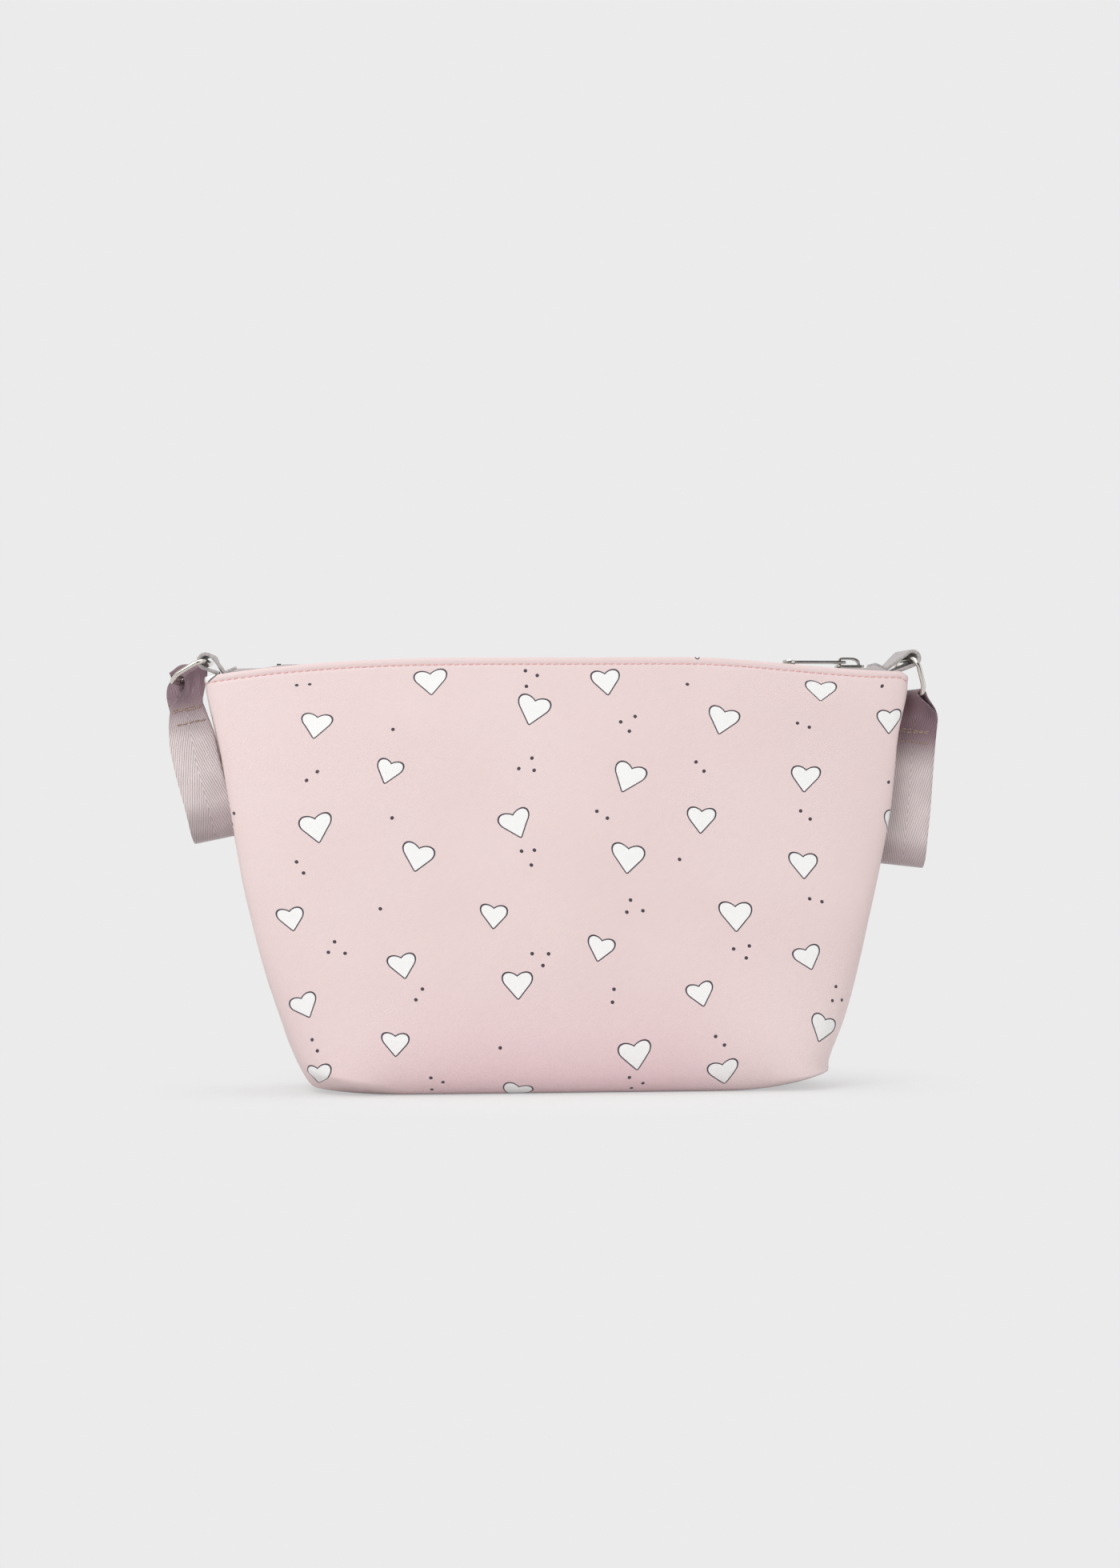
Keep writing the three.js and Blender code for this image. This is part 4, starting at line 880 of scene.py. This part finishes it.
# %% Loft the webbing
def strap(name, side):
    line = strap_line(side)
    section = band_section(STRAP_WIDTH, STRAP_THICKNESS, 15)
    rings = [np.array([strap_point(side, o + al * t, length - ao * t, a) for a, t in section])
             for (o, length), (ao, al) in zip(line, headings(line))]
    obj, grid = loft(name, [*rings, rings[0]])
    reach = run_length(np.concatenate([line, line[:1]]))
    lay_band(obj, grid, section, -side * reach)
    outward(obj)
    smooth_by(obj, 50)
    print(name, round(reach[-1]), "mm round, faces", len(obj.data.polygons))
    return obj


loops = {end: strap(f"{end}_webbing", side) for end, side in ENDS.items()}

# %% [markdown]
# ## Sewing on the webbing
# Two rows of beige thread close each loop under its ring, on both faces. The upper row is sewn twice.

# %% Sew the loops
SEWN_ROWS = {-1: [(14.3, 0.2), (15.2, -0.25), (21.0, 0.1)],  # below the wire, and how far the row wanders
             1: [(15.3, 0.2), (16.2, -0.2), (20.6, 0.1)]}
SEWN_HALF, SEWN_PITCH, SEWN_MARGIN, SEWN_TILT = 8.6, 2.6, 1.2, 0.1


def strap_rows(side):
    places = []
    for face in (-1, 1):
        for length, wander in SEWN_ROWS[side]:
            line, normals = [], []
            far = belly(length) + STRAP_THICKNESS / 2
            for across in np.linspace(-SEWN_HALF, SEWN_HALF, 30):
                here = length + wander * math.sin(across * 0.55)
                line.append(strap_point(side, face * (far + 0.05), here, across))
                normals.append(strap_point(side, face * (far + 1), here, across) - line[-1])
            places += along_line(line, normals, SEWN_PITCH, SEWN_MARGIN, SEWN_TILT)
    return places


sewing = {end: copies(f"{end}_loop_sewing", stitch_shape(2.5, 0.42), strap_rows(side)) for end, side in ENDS.items()}
print("sewing faces", len(sewing["left"].data.polygons))

# %% [markdown]
# ## Materials
# Colours are sRGB hex values, as read off the object, turned to linear light by one function.
# One small function adds a node, sets it and links it, so each finish below reads as a list of its steps.
# A finish is a function that returns the inputs of its surface shader, and the material is made round it.

# %% Material helpers
COLOURS = {"out": 2, "data_type": "RGBA"}  # a Mix node that mixes colours, and where its result comes out
SMOOTH = {"interpolation_type": "SMOOTHSTEP"}  # a Map Range node that is level at both ends


def linear(code):
    parts = [int(code[i:i + 2], 16) / 255 for i in (1, 3, 5)]
    return (*[p / 12.92 if p <= 0.04045 else ((p + 0.055) / 1.055) ** 2.4 for p in parts], 1)


def add(tree, kind, inputs=(), out=0, **settings):
    """Adds a node of the type ShaderNode with the kind after it, sets it and fills or links its inputs.

    Returns one output, or all of them where out is None. Inputs are a list in their order or a dictionary.
    """
    made = tree.nodes.new("ShaderNode" + kind)
    for key, value in settings.items():
        setattr(made, key, value)
    for key, value in inputs.items() if isinstance(inputs, dict) else enumerate(inputs):
        if isinstance(value, bpy.types.NodeSocket):
            tree.links.new(value, made.inputs[key])
        else:
            made.inputs[key].default_value = value
    return made.outputs if out is None else made.outputs[out]


def bare(name):
    """A new material with an empty node tree."""
    material = bpy.data.materials.new(name)
    material.use_nodes = True
    material.node_tree.nodes.clear()
    return material, material.node_tree


def material_of(name, finish, *details):
    """A material whose surface shader gets the inputs that a finish returns."""
    material, tree = bare(name)
    shader = add(tree, "BsdfPrincipled", finish(tree, *details))
    add(tree, "OutputMaterial", [shader], out=None)
    print(name, "nodes", len(tree.nodes))
    return material


# %% [markdown]
# ### Printed vinyl
# The skin is PVC on a woven backing, pressed with a fine cross-hatched grain and printed with hearts and dots.
# The grain of the real skin is about 0.6 mm; it is drawn a little coarser so that it still shows in the picture.
# The print sits on a half-drop repeat: every second column moves down by half a step, and each heart is turned,
# moved and sized a little by a number that depends only on its cell. The heart is the textbook shape of two arcs
# on a square corner, and its distance formula gives an even outline.

# %% Cells of the print
CELL = (43.0, 40.0)  # one heart's share of the skin, across and up
HEART, HEART_VARIES = 8.0, 2.2  # millimetres for one unit of the heart's formula, and from smallest to largest
HEART_TURNS = 0.75  # radians between the most turned hearts
HEART_TIP, HEART_NARROW, HEART_LIFT = 0.62, 0.88, 0.38  # in that unit: tip below the middle, width, lobes raised
HEART_STRAYS, DOTS_STRAY = (19.0, 13.0, 0), (24.0, 5.0, 0)  # how far apart chance can put them in their cells
HEART_SEED, DOT_SEED = 0.5, 7.5  # hearts and dots draw different numbers
ROUND = 0.8  # how far the print's edge lies outside that heart, which rounds its tip
OUTLINE = 0.6
DOT = 0.8  # radius
DOT_SPOTS = (((2.6, 1.5, 0), 0.0), ((-2.9, 2.2, 0), 0.35), ((-0.6, -4.4, 0), 0.6))  # place, share of cells without


def in_cell(tree, column, u, tall, seed, strays):
    """Place from the middle of a cell that chance has moved, and the cell's chance numbers, plain and centred."""
    row = add(tree, "Math", [tall, CELL[1]], operation="DIVIDE")
    row = add(tree, "Math", [row], operation="FLOOR")
    cell = add(tree, "CombineXYZ", [column, row, seed])
    chance = add(tree, "TexWhiteNoise", {"Vector": cell}, out="Color", noise_dimensions="3D")
    middle = add(tree, "VectorMath", [cell, (0.5, 0.5, 0)], operation="ADD")
    middle = add(tree, "VectorMath", [middle, (*CELL, 0)], operation="MULTIPLY")
    here = add(tree, "CombineXYZ", [u, tall])
    local = add(tree, "VectorMath", [here, middle], operation="SUBTRACT")
    centred = add(tree, "VectorMath", [chance, (0.5, 0.5, 0.5)], operation="SUBTRACT")
    moved = add(tree, "VectorMath", [centred, strays], operation="MULTIPLY")
    return add(tree, "VectorMath", [local, moved], operation="SUBTRACT"), chance, centred


print("hearts across the top", round(RIM_WIDTH / CELL[0], 1))

# %% Hearts and dots
def heart_distance(tree, local, centred):
    """Millimetres to the edge of a cell's heart: an arc above, a corner and its sides below."""
    turns = add(tree, "SeparateXYZ", [centred], out=None)
    angle = add(tree, "Math", [turns[2], HEART_TURNS], operation="MULTIPLY")
    tilted = add(tree, "VectorRotate", {"Vector": local, "Angle": angle}, rotation_type="Z_AXIS")
    size = add(tree, "Math", [turns[0], HEART_VARIES, HEART], operation="MULTIPLY_ADD")
    scale = add(tree, "Math", [1.0, size], operation="DIVIDE")
    unit = add(tree, "VectorMath", {0: tilted, "Scale": scale}, operation="SCALE")
    unit = add(tree, "VectorMath", [unit, (0, HEART_TIP, 0)], operation="ADD")
    sides = add(tree, "SeparateXYZ", [unit], out=None)
    x = add(tree, "Math", [sides[0]], operation="ABSOLUTE")
    x = add(tree, "Math", [x, HEART_NARROW], operation="MULTIPLY")
    y = add(tree, "Math", [x, -HEART_LIFT, sides[1]], operation="MULTIPLY_ADD")
    p = add(tree, "CombineXYZ", [x, y])
    total = add(tree, "Math", [x, y], operation="ADD")
    lobe = add(tree, "VectorMath", [p, (0.25, 0.75, 0)], out="Value", operation="DISTANCE")
    lobe = add(tree, "Math", [lobe, math.sqrt(2) / 4], operation="SUBTRACT")
    cleft = add(tree, "VectorMath", [p, (0, 1, 0)], out="Value", operation="DISTANCE")
    half = add(tree, "Math", [total, 0.0], operation="MAXIMUM")
    half = add(tree, "Math", [half, 0.5], operation="MULTIPLY")
    foot = add(tree, "CombineXYZ", [half, half])
    edge = add(tree, "VectorMath", [p, foot], out="Value", operation="DISTANCE")
    near = add(tree, "Math", [cleft, edge], operation="MINIMUM")
    sign = add(tree, "Math", [x, y], operation="SUBTRACT")
    sign = add(tree, "Math", [sign], operation="SIGN")
    corner = add(tree, "Math", [near, sign], operation="MULTIPLY")
    above = add(tree, "Math", [total, 1.0], operation="GREATER_THAN")
    distance = add(tree, "Mix", {0: above, 2: corner, 3: lobe})
    return add(tree, "Math", [distance, size, -ROUND], operation="MULTIPLY_ADD")


def print_masks(tree, u, v):
    """One inside the hearts' white fill, and one on the dark ink of outlines and dots."""
    column = add(tree, "Math", [u, CELL[0]], operation="DIVIDE")
    column = add(tree, "Math", [column], operation="FLOOR")
    odd = add(tree, "Math", [column, 2.0], operation="FLOORED_MODULO")
    dropped = add(tree, "Math", [odd, CELL[1] / 2, v], operation="MULTIPLY_ADD")
    local, _, centred = in_cell(tree, column, u, dropped, HEART_SEED, HEART_STRAYS)
    distance = heart_distance(tree, local, centred)
    fill = add(tree, "Math", [distance, 0.0], operation="LESS_THAN")
    ink = add(tree, "Math", [distance], operation="ABSOLUTE")
    ink = add(tree, "Math", [ink, OUTLINE / 2], operation="LESS_THAN")
    # one to three dots halfway between two hearts of a column
    lifted = add(tree, "Math", [dropped, CELL[1] / 2], operation="ADD")
    local, chance, _ = in_cell(tree, column, u, lifted, DOT_SEED, DOTS_STRAY)
    turns = add(tree, "SeparateXYZ", [chance], out=None)
    angle = add(tree, "Math", [turns[2], 2 * math.pi], operation="MULTIPLY")
    local = add(tree, "VectorRotate", {"Vector": local, "Angle": angle}, rotation_type="Z_AXIS")
    for spot, rarity in DOT_SPOTS:
        away = add(tree, "VectorMath", [local, spot], out="Value", operation="DISTANCE")
        dot = add(tree, "Math", [away, DOT], operation="LESS_THAN")
        shown = add(tree, "Math", [turns[0], rarity], operation="GREATER_THAN")
        dot = add(tree, "Math", [dot, shown], operation="MULTIPLY")
        ink = add(tree, "Math", [ink, dot], operation="MAXIMUM")
    return fill, ink


# %% Vinyl with the print on it
GRAIN, PEBBLE = 0.85, 1.3  # millimetres between pressed lines, and pebbles in a millimetre
PATCH, CLOUD = 35, 60  # millimetres across the patches of the grain and of the colour
GRAIN_WAYS = ((0.7, -1), (0.95, 1))  # slant in radians and which way, for two crossing sets of pressed lines


def vinyl(tree):
    at = add(tree, "UVMap", uv_map="cloth")
    u, v = add(tree, "SeparateXYZ", [at], out=None)[:2]
    fill, ink = print_masks(tree, u, v)

    # the crossing lines, one set stronger and weaker in patches
    fine = 2 * math.pi / GRAIN
    patch = add(tree, "TexNoise", {"Vector": at, "Scale": 1 / PATCH, "Detail": 2.0}, noise_dimensions="2D")
    lines = []
    for slant, way in GRAIN_WAYS:
        across = (fine * math.sin(slant), way * fine * math.cos(slant), 0)
        line = add(tree, "VectorMath", [at, across], out="Value", operation="DOT_PRODUCT")
        lines.append(add(tree, "Math", [line], operation="SINE"))
    patchy = add(tree, "Math", [lines[1], patch], operation="MULTIPLY")
    grain = add(tree, "Math", [lines[0], 0.6, patchy], operation="MULTIPLY_ADD")
    pebble = add(tree, "TexNoise", {"Vector": at, "Scale": PEBBLE, "Detail": 3.0}, noise_dimensions="2D")
    height = add(tree, "Math", [pebble, 0.6, grain], operation="MULTIPLY_ADD")
    bump = add(tree, "Bump", {"Strength": 0.35, "Distance": 0.00008, "Height": height})

    # colour: pink with faint cloudiness; near the base a painted shade of deeper pink, with painted light at both
    # bottom corners; lighter ridges, white fill, dark ink
    cloud = add(tree, "TexNoise", {"Vector": at, "Scale": 1 / CLOUD, "Detail": 3.0}, noise_dimensions="2D")
    pink = add(tree, "Mix", {0: cloud, 6: linear("#e6d0cf"), 7: linear("#ecd8d6")}, **COLOURS)
    aside = add(tree, "Math", [u], operation="ABSOLUTE")
    # painted light: the bottom corners' pink, lighter at the right one than at the left
    painted_corner_light = add(tree, "MapRange", [u, -40.0, 95.0], **SMOOTH)
    painted_corner_light = add(tree, "Mix", {0: painted_corner_light, 6: linear("#ebd4d4"), 7: linear("#f1dedd")}, **COLOURS)
    # painted shade of deeper pink in the middle of the base, giving way to the painted light at its two corners
    corner = add(tree, "MapRange", [aside, 35.0, 105.0], **SMOOTH)
    base = add(tree, "Mix", {0: corner, 6: linear("#e6cacd"), 7: painted_corner_light}, **COLOURS)
    # painted shade: from 70 mm above the bottom down to it, this deeper pink with its painted corner light takes over
    low = add(tree, "MapRange", [v, 70.0, 3.0, 0.0, 0.95], **SMOOTH)
    pink = add(tree, "Mix", {0: low, 6: pink, 7: base}, **COLOURS)
    ridge = add(tree, "MapRange", [grain, -1.2, 1.2, 0.978, 1.018])
    pink = add(tree, "VectorMath", {0: pink, "Scale": ridge}, operation="SCALE")
    whitened = add(tree, "Mix", {0: fill, 6: pink, 7: linear("#f5f5f4")}, **COLOURS)
    inked = add(tree, "Mix", {0: ink, 6: whitened, 7: linear("#463d48")}, **COLOURS)
    return {"Base Color": inked, "Roughness": 0.46, "IOR": 1.5, "Normal": bump}


printed_vinyl = material_of("printed_embossed_vinyl", vinyl)

# %% [markdown]
# ### Thread, tape and lining
# Sewing thread is two strands twisted together, which shows as slanting bands along each stitch.
# The zip tape is a plain weave of polyester, grey and matt. The lining is a thinner one with a slight sheen.
# Real threads are too fine for the picture, so the weaves are drawn coarser and repeat every 0.8 and 0.7 mm.

# %% Thread and cloth finishes
def thread(tree, light, dark):
    at = add(tree, "TexCoord", out="Object")
    strands = add(tree, "TexWave", {"Vector": at, "Scale": 0.55 / MM, "Distortion": 1.5, "Detail": 1.0},
                  out="Fac", bands_direction="DIAGONAL")
    colour = add(tree, "Mix", {0: strands, 6: linear(dark), 7: linear(light)}, **COLOURS)
    bump = add(tree, "Bump", {"Strength": 0.5, "Distance": 0.0001, "Height": strands})
    return {"Base Color": colour, "Roughness": 0.6, "Normal": bump, "Sheen Weight": 0.2}


def woven(tree, light, dark, pitch, depth, roughness):
    """A plain weave: threads cross over and under, every second one the other way."""
    at = add(tree, "UVMap", uv_map="cloth")
    scaled = add(tree, "VectorMath", {0: at, "Scale": 2 * math.pi / pitch}, operation="SCALE")
    parts = add(tree, "SeparateXYZ", [scaled], out=None)
    warp = add(tree, "Math", [parts[0]], operation="SINE")
    weft = add(tree, "Math", [parts[1]], operation="SINE")
    over = add(tree, "Math", [warp, weft], operation="MULTIPLY")
    fuzz = add(tree, "TexNoise", {"Vector": at, "Scale": 0.9, "Detail": 3.0}, noise_dimensions="2D")
    height = add(tree, "Math", [fuzz, 0.8, over], operation="MULTIPLY_ADD")
    shade = add(tree, "MapRange", [height, -0.6, 1.4])
    colour = add(tree, "Mix", {0: shade, 6: linear(dark), 7: linear(light)}, **COLOURS)
    bump = add(tree, "Bump", {"Strength": 0.6, "Distance": depth, "Height": height})
    return {"Base Color": colour, "Roughness": roughness, "Normal": bump, "Sheen Weight": 0.15}


coral_thread = material_of("coral_sewing_thread", thread, "#ecc3c2", "#d98f90")
beige_thread = material_of("beige_sewing_thread", thread, "#b39a8c", "#7f675c")
zip_cloth = material_of("polyester_zip_tape", woven, "#ddd6d6", "#c2bbbb", 0.8, 0.00012, 0.75)
lining_cloth = material_of("woven_polyester_lining", woven, "#d9d2d0", "#c6bebc", 0.7, 0.00008, 0.6)

# %% [markdown]
# ### Nylon teeth and plated metal
# The teeth are moulded nylon, satin and slightly mottled, in the grey of the tape.
# The slider, pull and stops are zinc castings with a nickel plating; tumbling leaves them bright but not a mirror.
# The rings are drawn steel wire, nickel plated and polished.

# %% Teeth and metal finishes
def nylon(tree):
    at = add(tree, "TexCoord", out="Object")
    mottle = add(tree, "TexNoise", {"Vector": at, "Scale": 0.4 / MM, "Detail": 2.0})
    colour = add(tree, "Mix", {0: mottle, 6: linear("#a9a3a4"), 7: linear("#c2bcbc")}, **COLOURS)
    return {"Base Color": colour, "Roughness": 0.4, "IOR": 1.53}


def plated(tree, colour, rough_low, rough_high, grit):
    """Bright plating with fine pits and rubs that change the roughness more than the shape."""
    at = add(tree, "TexCoord", out="Object")
    rubs = add(tree, "TexNoise", {"Vector": at, "Scale": 1 / (grit * MM), "Detail": 4.0, "Roughness": 0.6})
    rough = add(tree, "MapRange", [rubs, 0.3, 0.7, rough_low, rough_high])
    bump = add(tree, "Bump", {"Strength": 0.08, "Distance": 0.0001, "Height": rubs})
    return {"Base Color": linear(colour), "Metallic": 1.0, "Roughness": rough, "Normal": bump}


teeth_nylon = material_of("moulded_nylon", nylon)
cast_nickel = material_of("nickel_plated_zinc", plated, "#c6c2be", 0.14, 0.28, 1.2)
wire_nickel = material_of("nickel_plated_wire", plated, "#d6d1ca", 0.06, 0.16, 2.0)

# %% [markdown]
# ### Faux leather
# The tabs are polyurethane on cloth, embossed with a leather grain of small cells about 0.8 mm across.
# Voronoi cells give the grain, and a softer noise varies the colour.

# %% Faux leather finish
def faux_leather(tree):
    at = add(tree, "UVMap", uv_map="cloth")
    cells = add(tree, "TexVoronoi", {"Vector": at, "Scale": 1 / 0.8}, feature="DISTANCE_TO_EDGE",
                voronoi_dimensions="2D")
    grain = add(tree, "MapRange", [cells, 0.0, 0.22], **SMOOTH)
    wear = add(tree, "TexNoise", {"Vector": at, "Scale": 1 / 3.0, "Detail": 3.0}, noise_dimensions="2D")
    colour = add(tree, "Mix", {0: wear, 6: linear("#aca6a5"), 7: linear("#c2bcbb")}, **COLOURS)
    shade = add(tree, "MapRange", [grain, 0.0, 1.0, 0.82, 1.02])
    colour = add(tree, "VectorMath", {0: colour, "Scale": shade}, operation="SCALE")
    bump = add(tree, "Bump", {"Strength": 0.5, "Distance": 0.0001, "Height": grain})
    return {"Base Color": colour, "Roughness": 0.45, "Normal": bump}


tab_leather = material_of("grey_faux_leather", faux_leather)

# %% [markdown]
# ### Herringbone webbing
# The webbing is polyester in a herringbone: satin floats lie in steep lines that meet in one long V at the middle.
# A thin dark gap lies between two floats, about 1 mm apart across the band, and the ground yarn shows in it as dots.
# The band's UV map gives across and along in millimetres, so the lines follow its twist.

# %% Webbing finish
FLOAT_STEP = 1.0  # between two floats across the band
FLOAT_RISE = 3.7  # a float's run along the band for each millimetre across
KNOT_STEP = 0.75  # between two dots of the ground yarn
WEBBING_HALF = 79  # along the band from the ring to the bottom of the loop
RING_AT = 3.3  # the ring's place along the band


def herringbone(tree):
    at = add(tree, "UVMap", uv_map="cloth")
    across, along = add(tree, "SeparateXYZ", [at], out=None)[:2]
    away = add(tree, "Math", [across], operation="ABSOLUTE")
    waver = add(tree, "TexNoise", {"Vector": at, "Scale": 0.25, "Detail": 2.0}, noise_dimensions="2D")
    run = add(tree, "Math", [away, FLOAT_RISE, along], operation="MULTIPLY_ADD")
    run = add(tree, "Math", [waver, 1.2, run], operation="MULTIPLY_ADD")
    phase = add(tree, "Math", [run, 1 / (FLOAT_STEP * FLOAT_RISE)], operation="MULTIPLY")
    off = add(tree, "Math", [phase], operation="FRACT")
    off = add(tree, "Math", [off, 0.5], operation="SUBTRACT")
    off = add(tree, "Math", [off], operation="ABSOLUTE")
    crown = add(tree, "MapRange", [off, 0.52, 0.27], **SMOOTH)
    knots = add(tree, "Math", [along, 2 * math.pi / KNOT_STEP], operation="MULTIPLY")
    knots = add(tree, "Math", [knots], operation="SINE")
    dotted = add(tree, "Math", [knots, 0.14, crown], operation="MULTIPLY_ADD")
    fibre = add(tree, "VectorMath", [at, (9.0, 0.8, 0)], operation="MULTIPLY")
    fibre = add(tree, "TexNoise", {"Vector": fibre, "Scale": 1.0, "Detail": 3.0}, noise_dimensions="2D")
    height = add(tree, "Math", [fibre, 0.35, dotted], operation="MULTIPLY_ADD")
    shade = add(tree, "MapRange", [height, 0.05, 1.0])
    colour = add(tree, "Mix", {0: shade, 6: linear("#84717a"), 7: linear("#dacdcc")}, **COLOURS)
    # painted shade: the colour is darkened where the band is creased at the ring and bent round at the bottom
    far = add(tree, "Math", [along], operation="ABSOLUTE")
    far = add(tree, "Math", [far, RING_AT + WEBBING_HALF], operation="SUBTRACT")
    far = add(tree, "Math", [far], operation="ABSOLUTE")
    painted_bend_shade = add(tree, "MapRange", [far, 21.0, 11.0, 0.0, 0.45], **SMOOTH)
    painted_ring_shade = add(tree, "MapRange", [far, WEBBING_HALF - 33, WEBBING_HALF - 11, 0.0, 0.97], **SMOOTH)
    painted_shade = add(tree, "Math", [painted_bend_shade, painted_ring_shade], operation="MAXIMUM")
    colour = add(tree, "Mix", {0: painted_shade, 6: colour, 7: linear("#957c89")}, blend_type="MULTIPLY", **COLOURS)
    # painted sheen: long soft bands that lighten and darken the colour along the band
    painted_sheen = add(tree, "VectorMath", [at, (0.05, 0.055, 0)], operation="MULTIPLY")
    painted_sheen = add(tree, "TexNoise", {"Vector": painted_sheen, "Scale": 1.0, "Detail": 2.0}, noise_dimensions="2D")
    painted_sheen = add(tree, "MapRange", [painted_sheen, 0.3, 0.7, 0.9, 1.06])
    colour = add(tree, "VectorMath", {0: colour, "Scale": painted_sheen}, operation="SCALE")
    bump = add(tree, "Bump", {"Strength": 0.6, "Distance": 0.00016, "Height": height})
    return {"Base Color": colour, "Roughness": 0.38, "Normal": bump, "Sheen Weight": 0.2}


webbing = material_of("herringbone_webbing", herringbone)

# %% [markdown]
# ## Putting it on the frame
# Each piece now gets its finish and the CAD body it moves with, and the CAD solid it stands for is hidden.
# The tape and chain that swing open get no body; their placement is baked into their meshes.


def coat(piece, material):
    piece.data.materials.clear()
    piece.data.materials.append(material)


def dress(piece, material, body=None, stands_for=None):
    coat(piece, material)
    if body:
        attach(piece, body)
    if stands_for:
        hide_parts(stands_for)


for side in ("front", "back"):
    dress(skins[side], printed_vinyl, "bag", f"{side}_panel")
    dress(cloths[side], lining_cloth, "bag", f"{side}_lining")
    dress(stitches[side], coral_thread, "bag")
    dress(bands[side], zip_cloth, "bag", f"{side}_zip_tape")
    for pieces, material, slot, node in ((leaves[side], zip_cloth, "tape", f"{side}_zip_leaf"),
                                         (chain[side], teeth_nylon, "teeth", f"{side}_zip_teeth")):
        for piece, begin, toward in zip(pieces, (LEAF_LEFT, LEAF_RIGHT), (1, -1)):
            dress(piece, material, stands_for=node)
            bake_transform(piece)
for end in ENDS:
    dress(tabs[end], tab_leather, "bag", f"{end}_ring_tab")
    dress(wires[end], wire_nickel, f"{end}_ring", f"{end}_ring")
    dress(loops[end], webbing, f"{end}_strap", f"{end}_strap")
    dress(sewing[end], beige_thread, f"{end}_strap")
dress(slider, cast_nickel, "slider", "zip_slider")
dress(pull, cast_nickel, "pull", "zip_pull")
for node in ("front_top_stop", "back_top_stop", "zip_bottom_stop"):
    coat(frame["nodes"][node], cast_nickel)

# %% [markdown]
# ## Floor, background and light
# The bag stands on a pale seamless ground with soft light from above and a little from the left.
# The floor and the world show the same grey to the camera and in the metal; the floor still takes the bag's shadow,
# because it blends from its plain grey to a lit grey near the bag. Behind the camera hangs a dark card that only
# reflections see. It gives the metal the dark lines of polished wire.

# %% The floor
GROUND = "#ebebeb"
SHADOW_REACH = (0.26, 0.17)  # metres across and in depth, where the floor is lit


def seen_directly(tree):
    """One for rays from the camera, in a mirror or through glass."""
    rays = add(tree, "LightPath", out=None)
    glossy = add(tree, "Math", [rays["Is Camera Ray"], rays["Is Glossy Ray"]], operation="MAXIMUM")
    return add(tree, "Math", [glossy, rays["Is Transmission Ray"]], operation="MAXIMUM")


def floor_finish():
    material, tree = bare("matt_paper_sweep")
    at = add(tree, "TexCoord", out="Object")
    scaled = add(tree, "VectorMath", [at, (1 / SHADOW_REACH[0], 1 / SHADOW_REACH[1], 0)], operation="MULTIPLY")
    far = add(tree, "VectorMath", [scaled], out="Value", operation="LENGTH")
    plain = add(tree, "MapRange", [far, 0.3, 0.85, 0.55, 1.0], **SMOOTH)
    fleck = add(tree, "TexNoise", {"Vector": at, "Scale": 1 / (3 * MM), "Detail": 2.0})
    tone = add(tree, "Mix", {0: fleck, 6: linear("#e6e5e5"), 7: linear("#ebeaea")}, **COLOURS)
    lit = add(tree, "BsdfDiffuse", {"Color": tone})
    shown = add(tree, "Emission", {"Color": linear(GROUND), "Strength": 1.0})
    share = add(tree, "Math", [plain, seen_directly(tree)], operation="MULTIPLY")
    shader = add(tree, "MixShader", [share, lit, shown])
    add(tree, "OutputMaterial", [shader], out=None)
    return material


start()
bpy.ops.mesh.primitive_grid_add(x_subdivisions=8, y_subdivisions=8, size=8)
floor = named("floor")
coat(floor, floor_finish())
print("floor", [round(v, 1) for v in floor.dimensions], "m")

# %% The world
SKY = 0.52
CARD_WAY, CARD_DARKNESS = (0, -0.97, 0.24), 0.88  # toward the card's middle, and how much light it takes
CARD_EDGE = (0.7, 0.86)  # cosines from that way where the card begins and where it is full

world = bpy.data.worlds.new("studio")
bpy.context.scene.world = world
world.use_nodes = True
tree = world.node_tree
tree.nodes.clear()
sky = add(tree, "Background", {"Color": (1, 1, 1, 1), "Strength": SKY})
facing = add(tree, "TexCoord", out="Generated")
facing = add(tree, "VectorMath", [facing, CARD_WAY], out="Value", operation="DOT_PRODUCT")
card = add(tree, "MapRange", [facing, *CARD_EDGE, 0.0, CARD_DARKNESS], **SMOOTH)
rays = add(tree, "LightPath", out=None)
card = add(tree, "Math", [card, rays["Is Glossy Ray"]], operation="MULTIPLY")
shown = add(tree, "Math", [1.0, card], operation="SUBTRACT")
ground = add(tree, "Background", {"Color": linear(GROUND), "Strength": shown})
both = add(tree, "MixShader", [seen_directly(tree), sky, ground])
add(tree, "OutputWorld", [both], out=None)
print("world nodes", len(tree.nodes))

# %% The lamps
LAMP_AIM = Vector((0, 0, 0.1))
LAMPS = {"key": ((-0.9, -1.4, 1.5), 1.2, 21), "top": ((0.1, 0.1, 1.8), 1.0, 9),
         "fill": ((1.5, -1.2, 0.5), 1.2, 1.8)}  # place and size in metres, power in watts

for name, (place, size, power) in LAMPS.items():
    start()
    bpy.ops.object.light_add(type="AREA", location=place)
    lamp = bpy.context.active_object
    lamp.name = name
    lamp.rotation_euler = (LAMP_AIM - Vector(place)).to_track_quat("-Z", "Y").to_euler()
    lamp.data.size, lamp.data.energy = size, power
bpy.context.scene.view_settings.view_transform = "Standard"
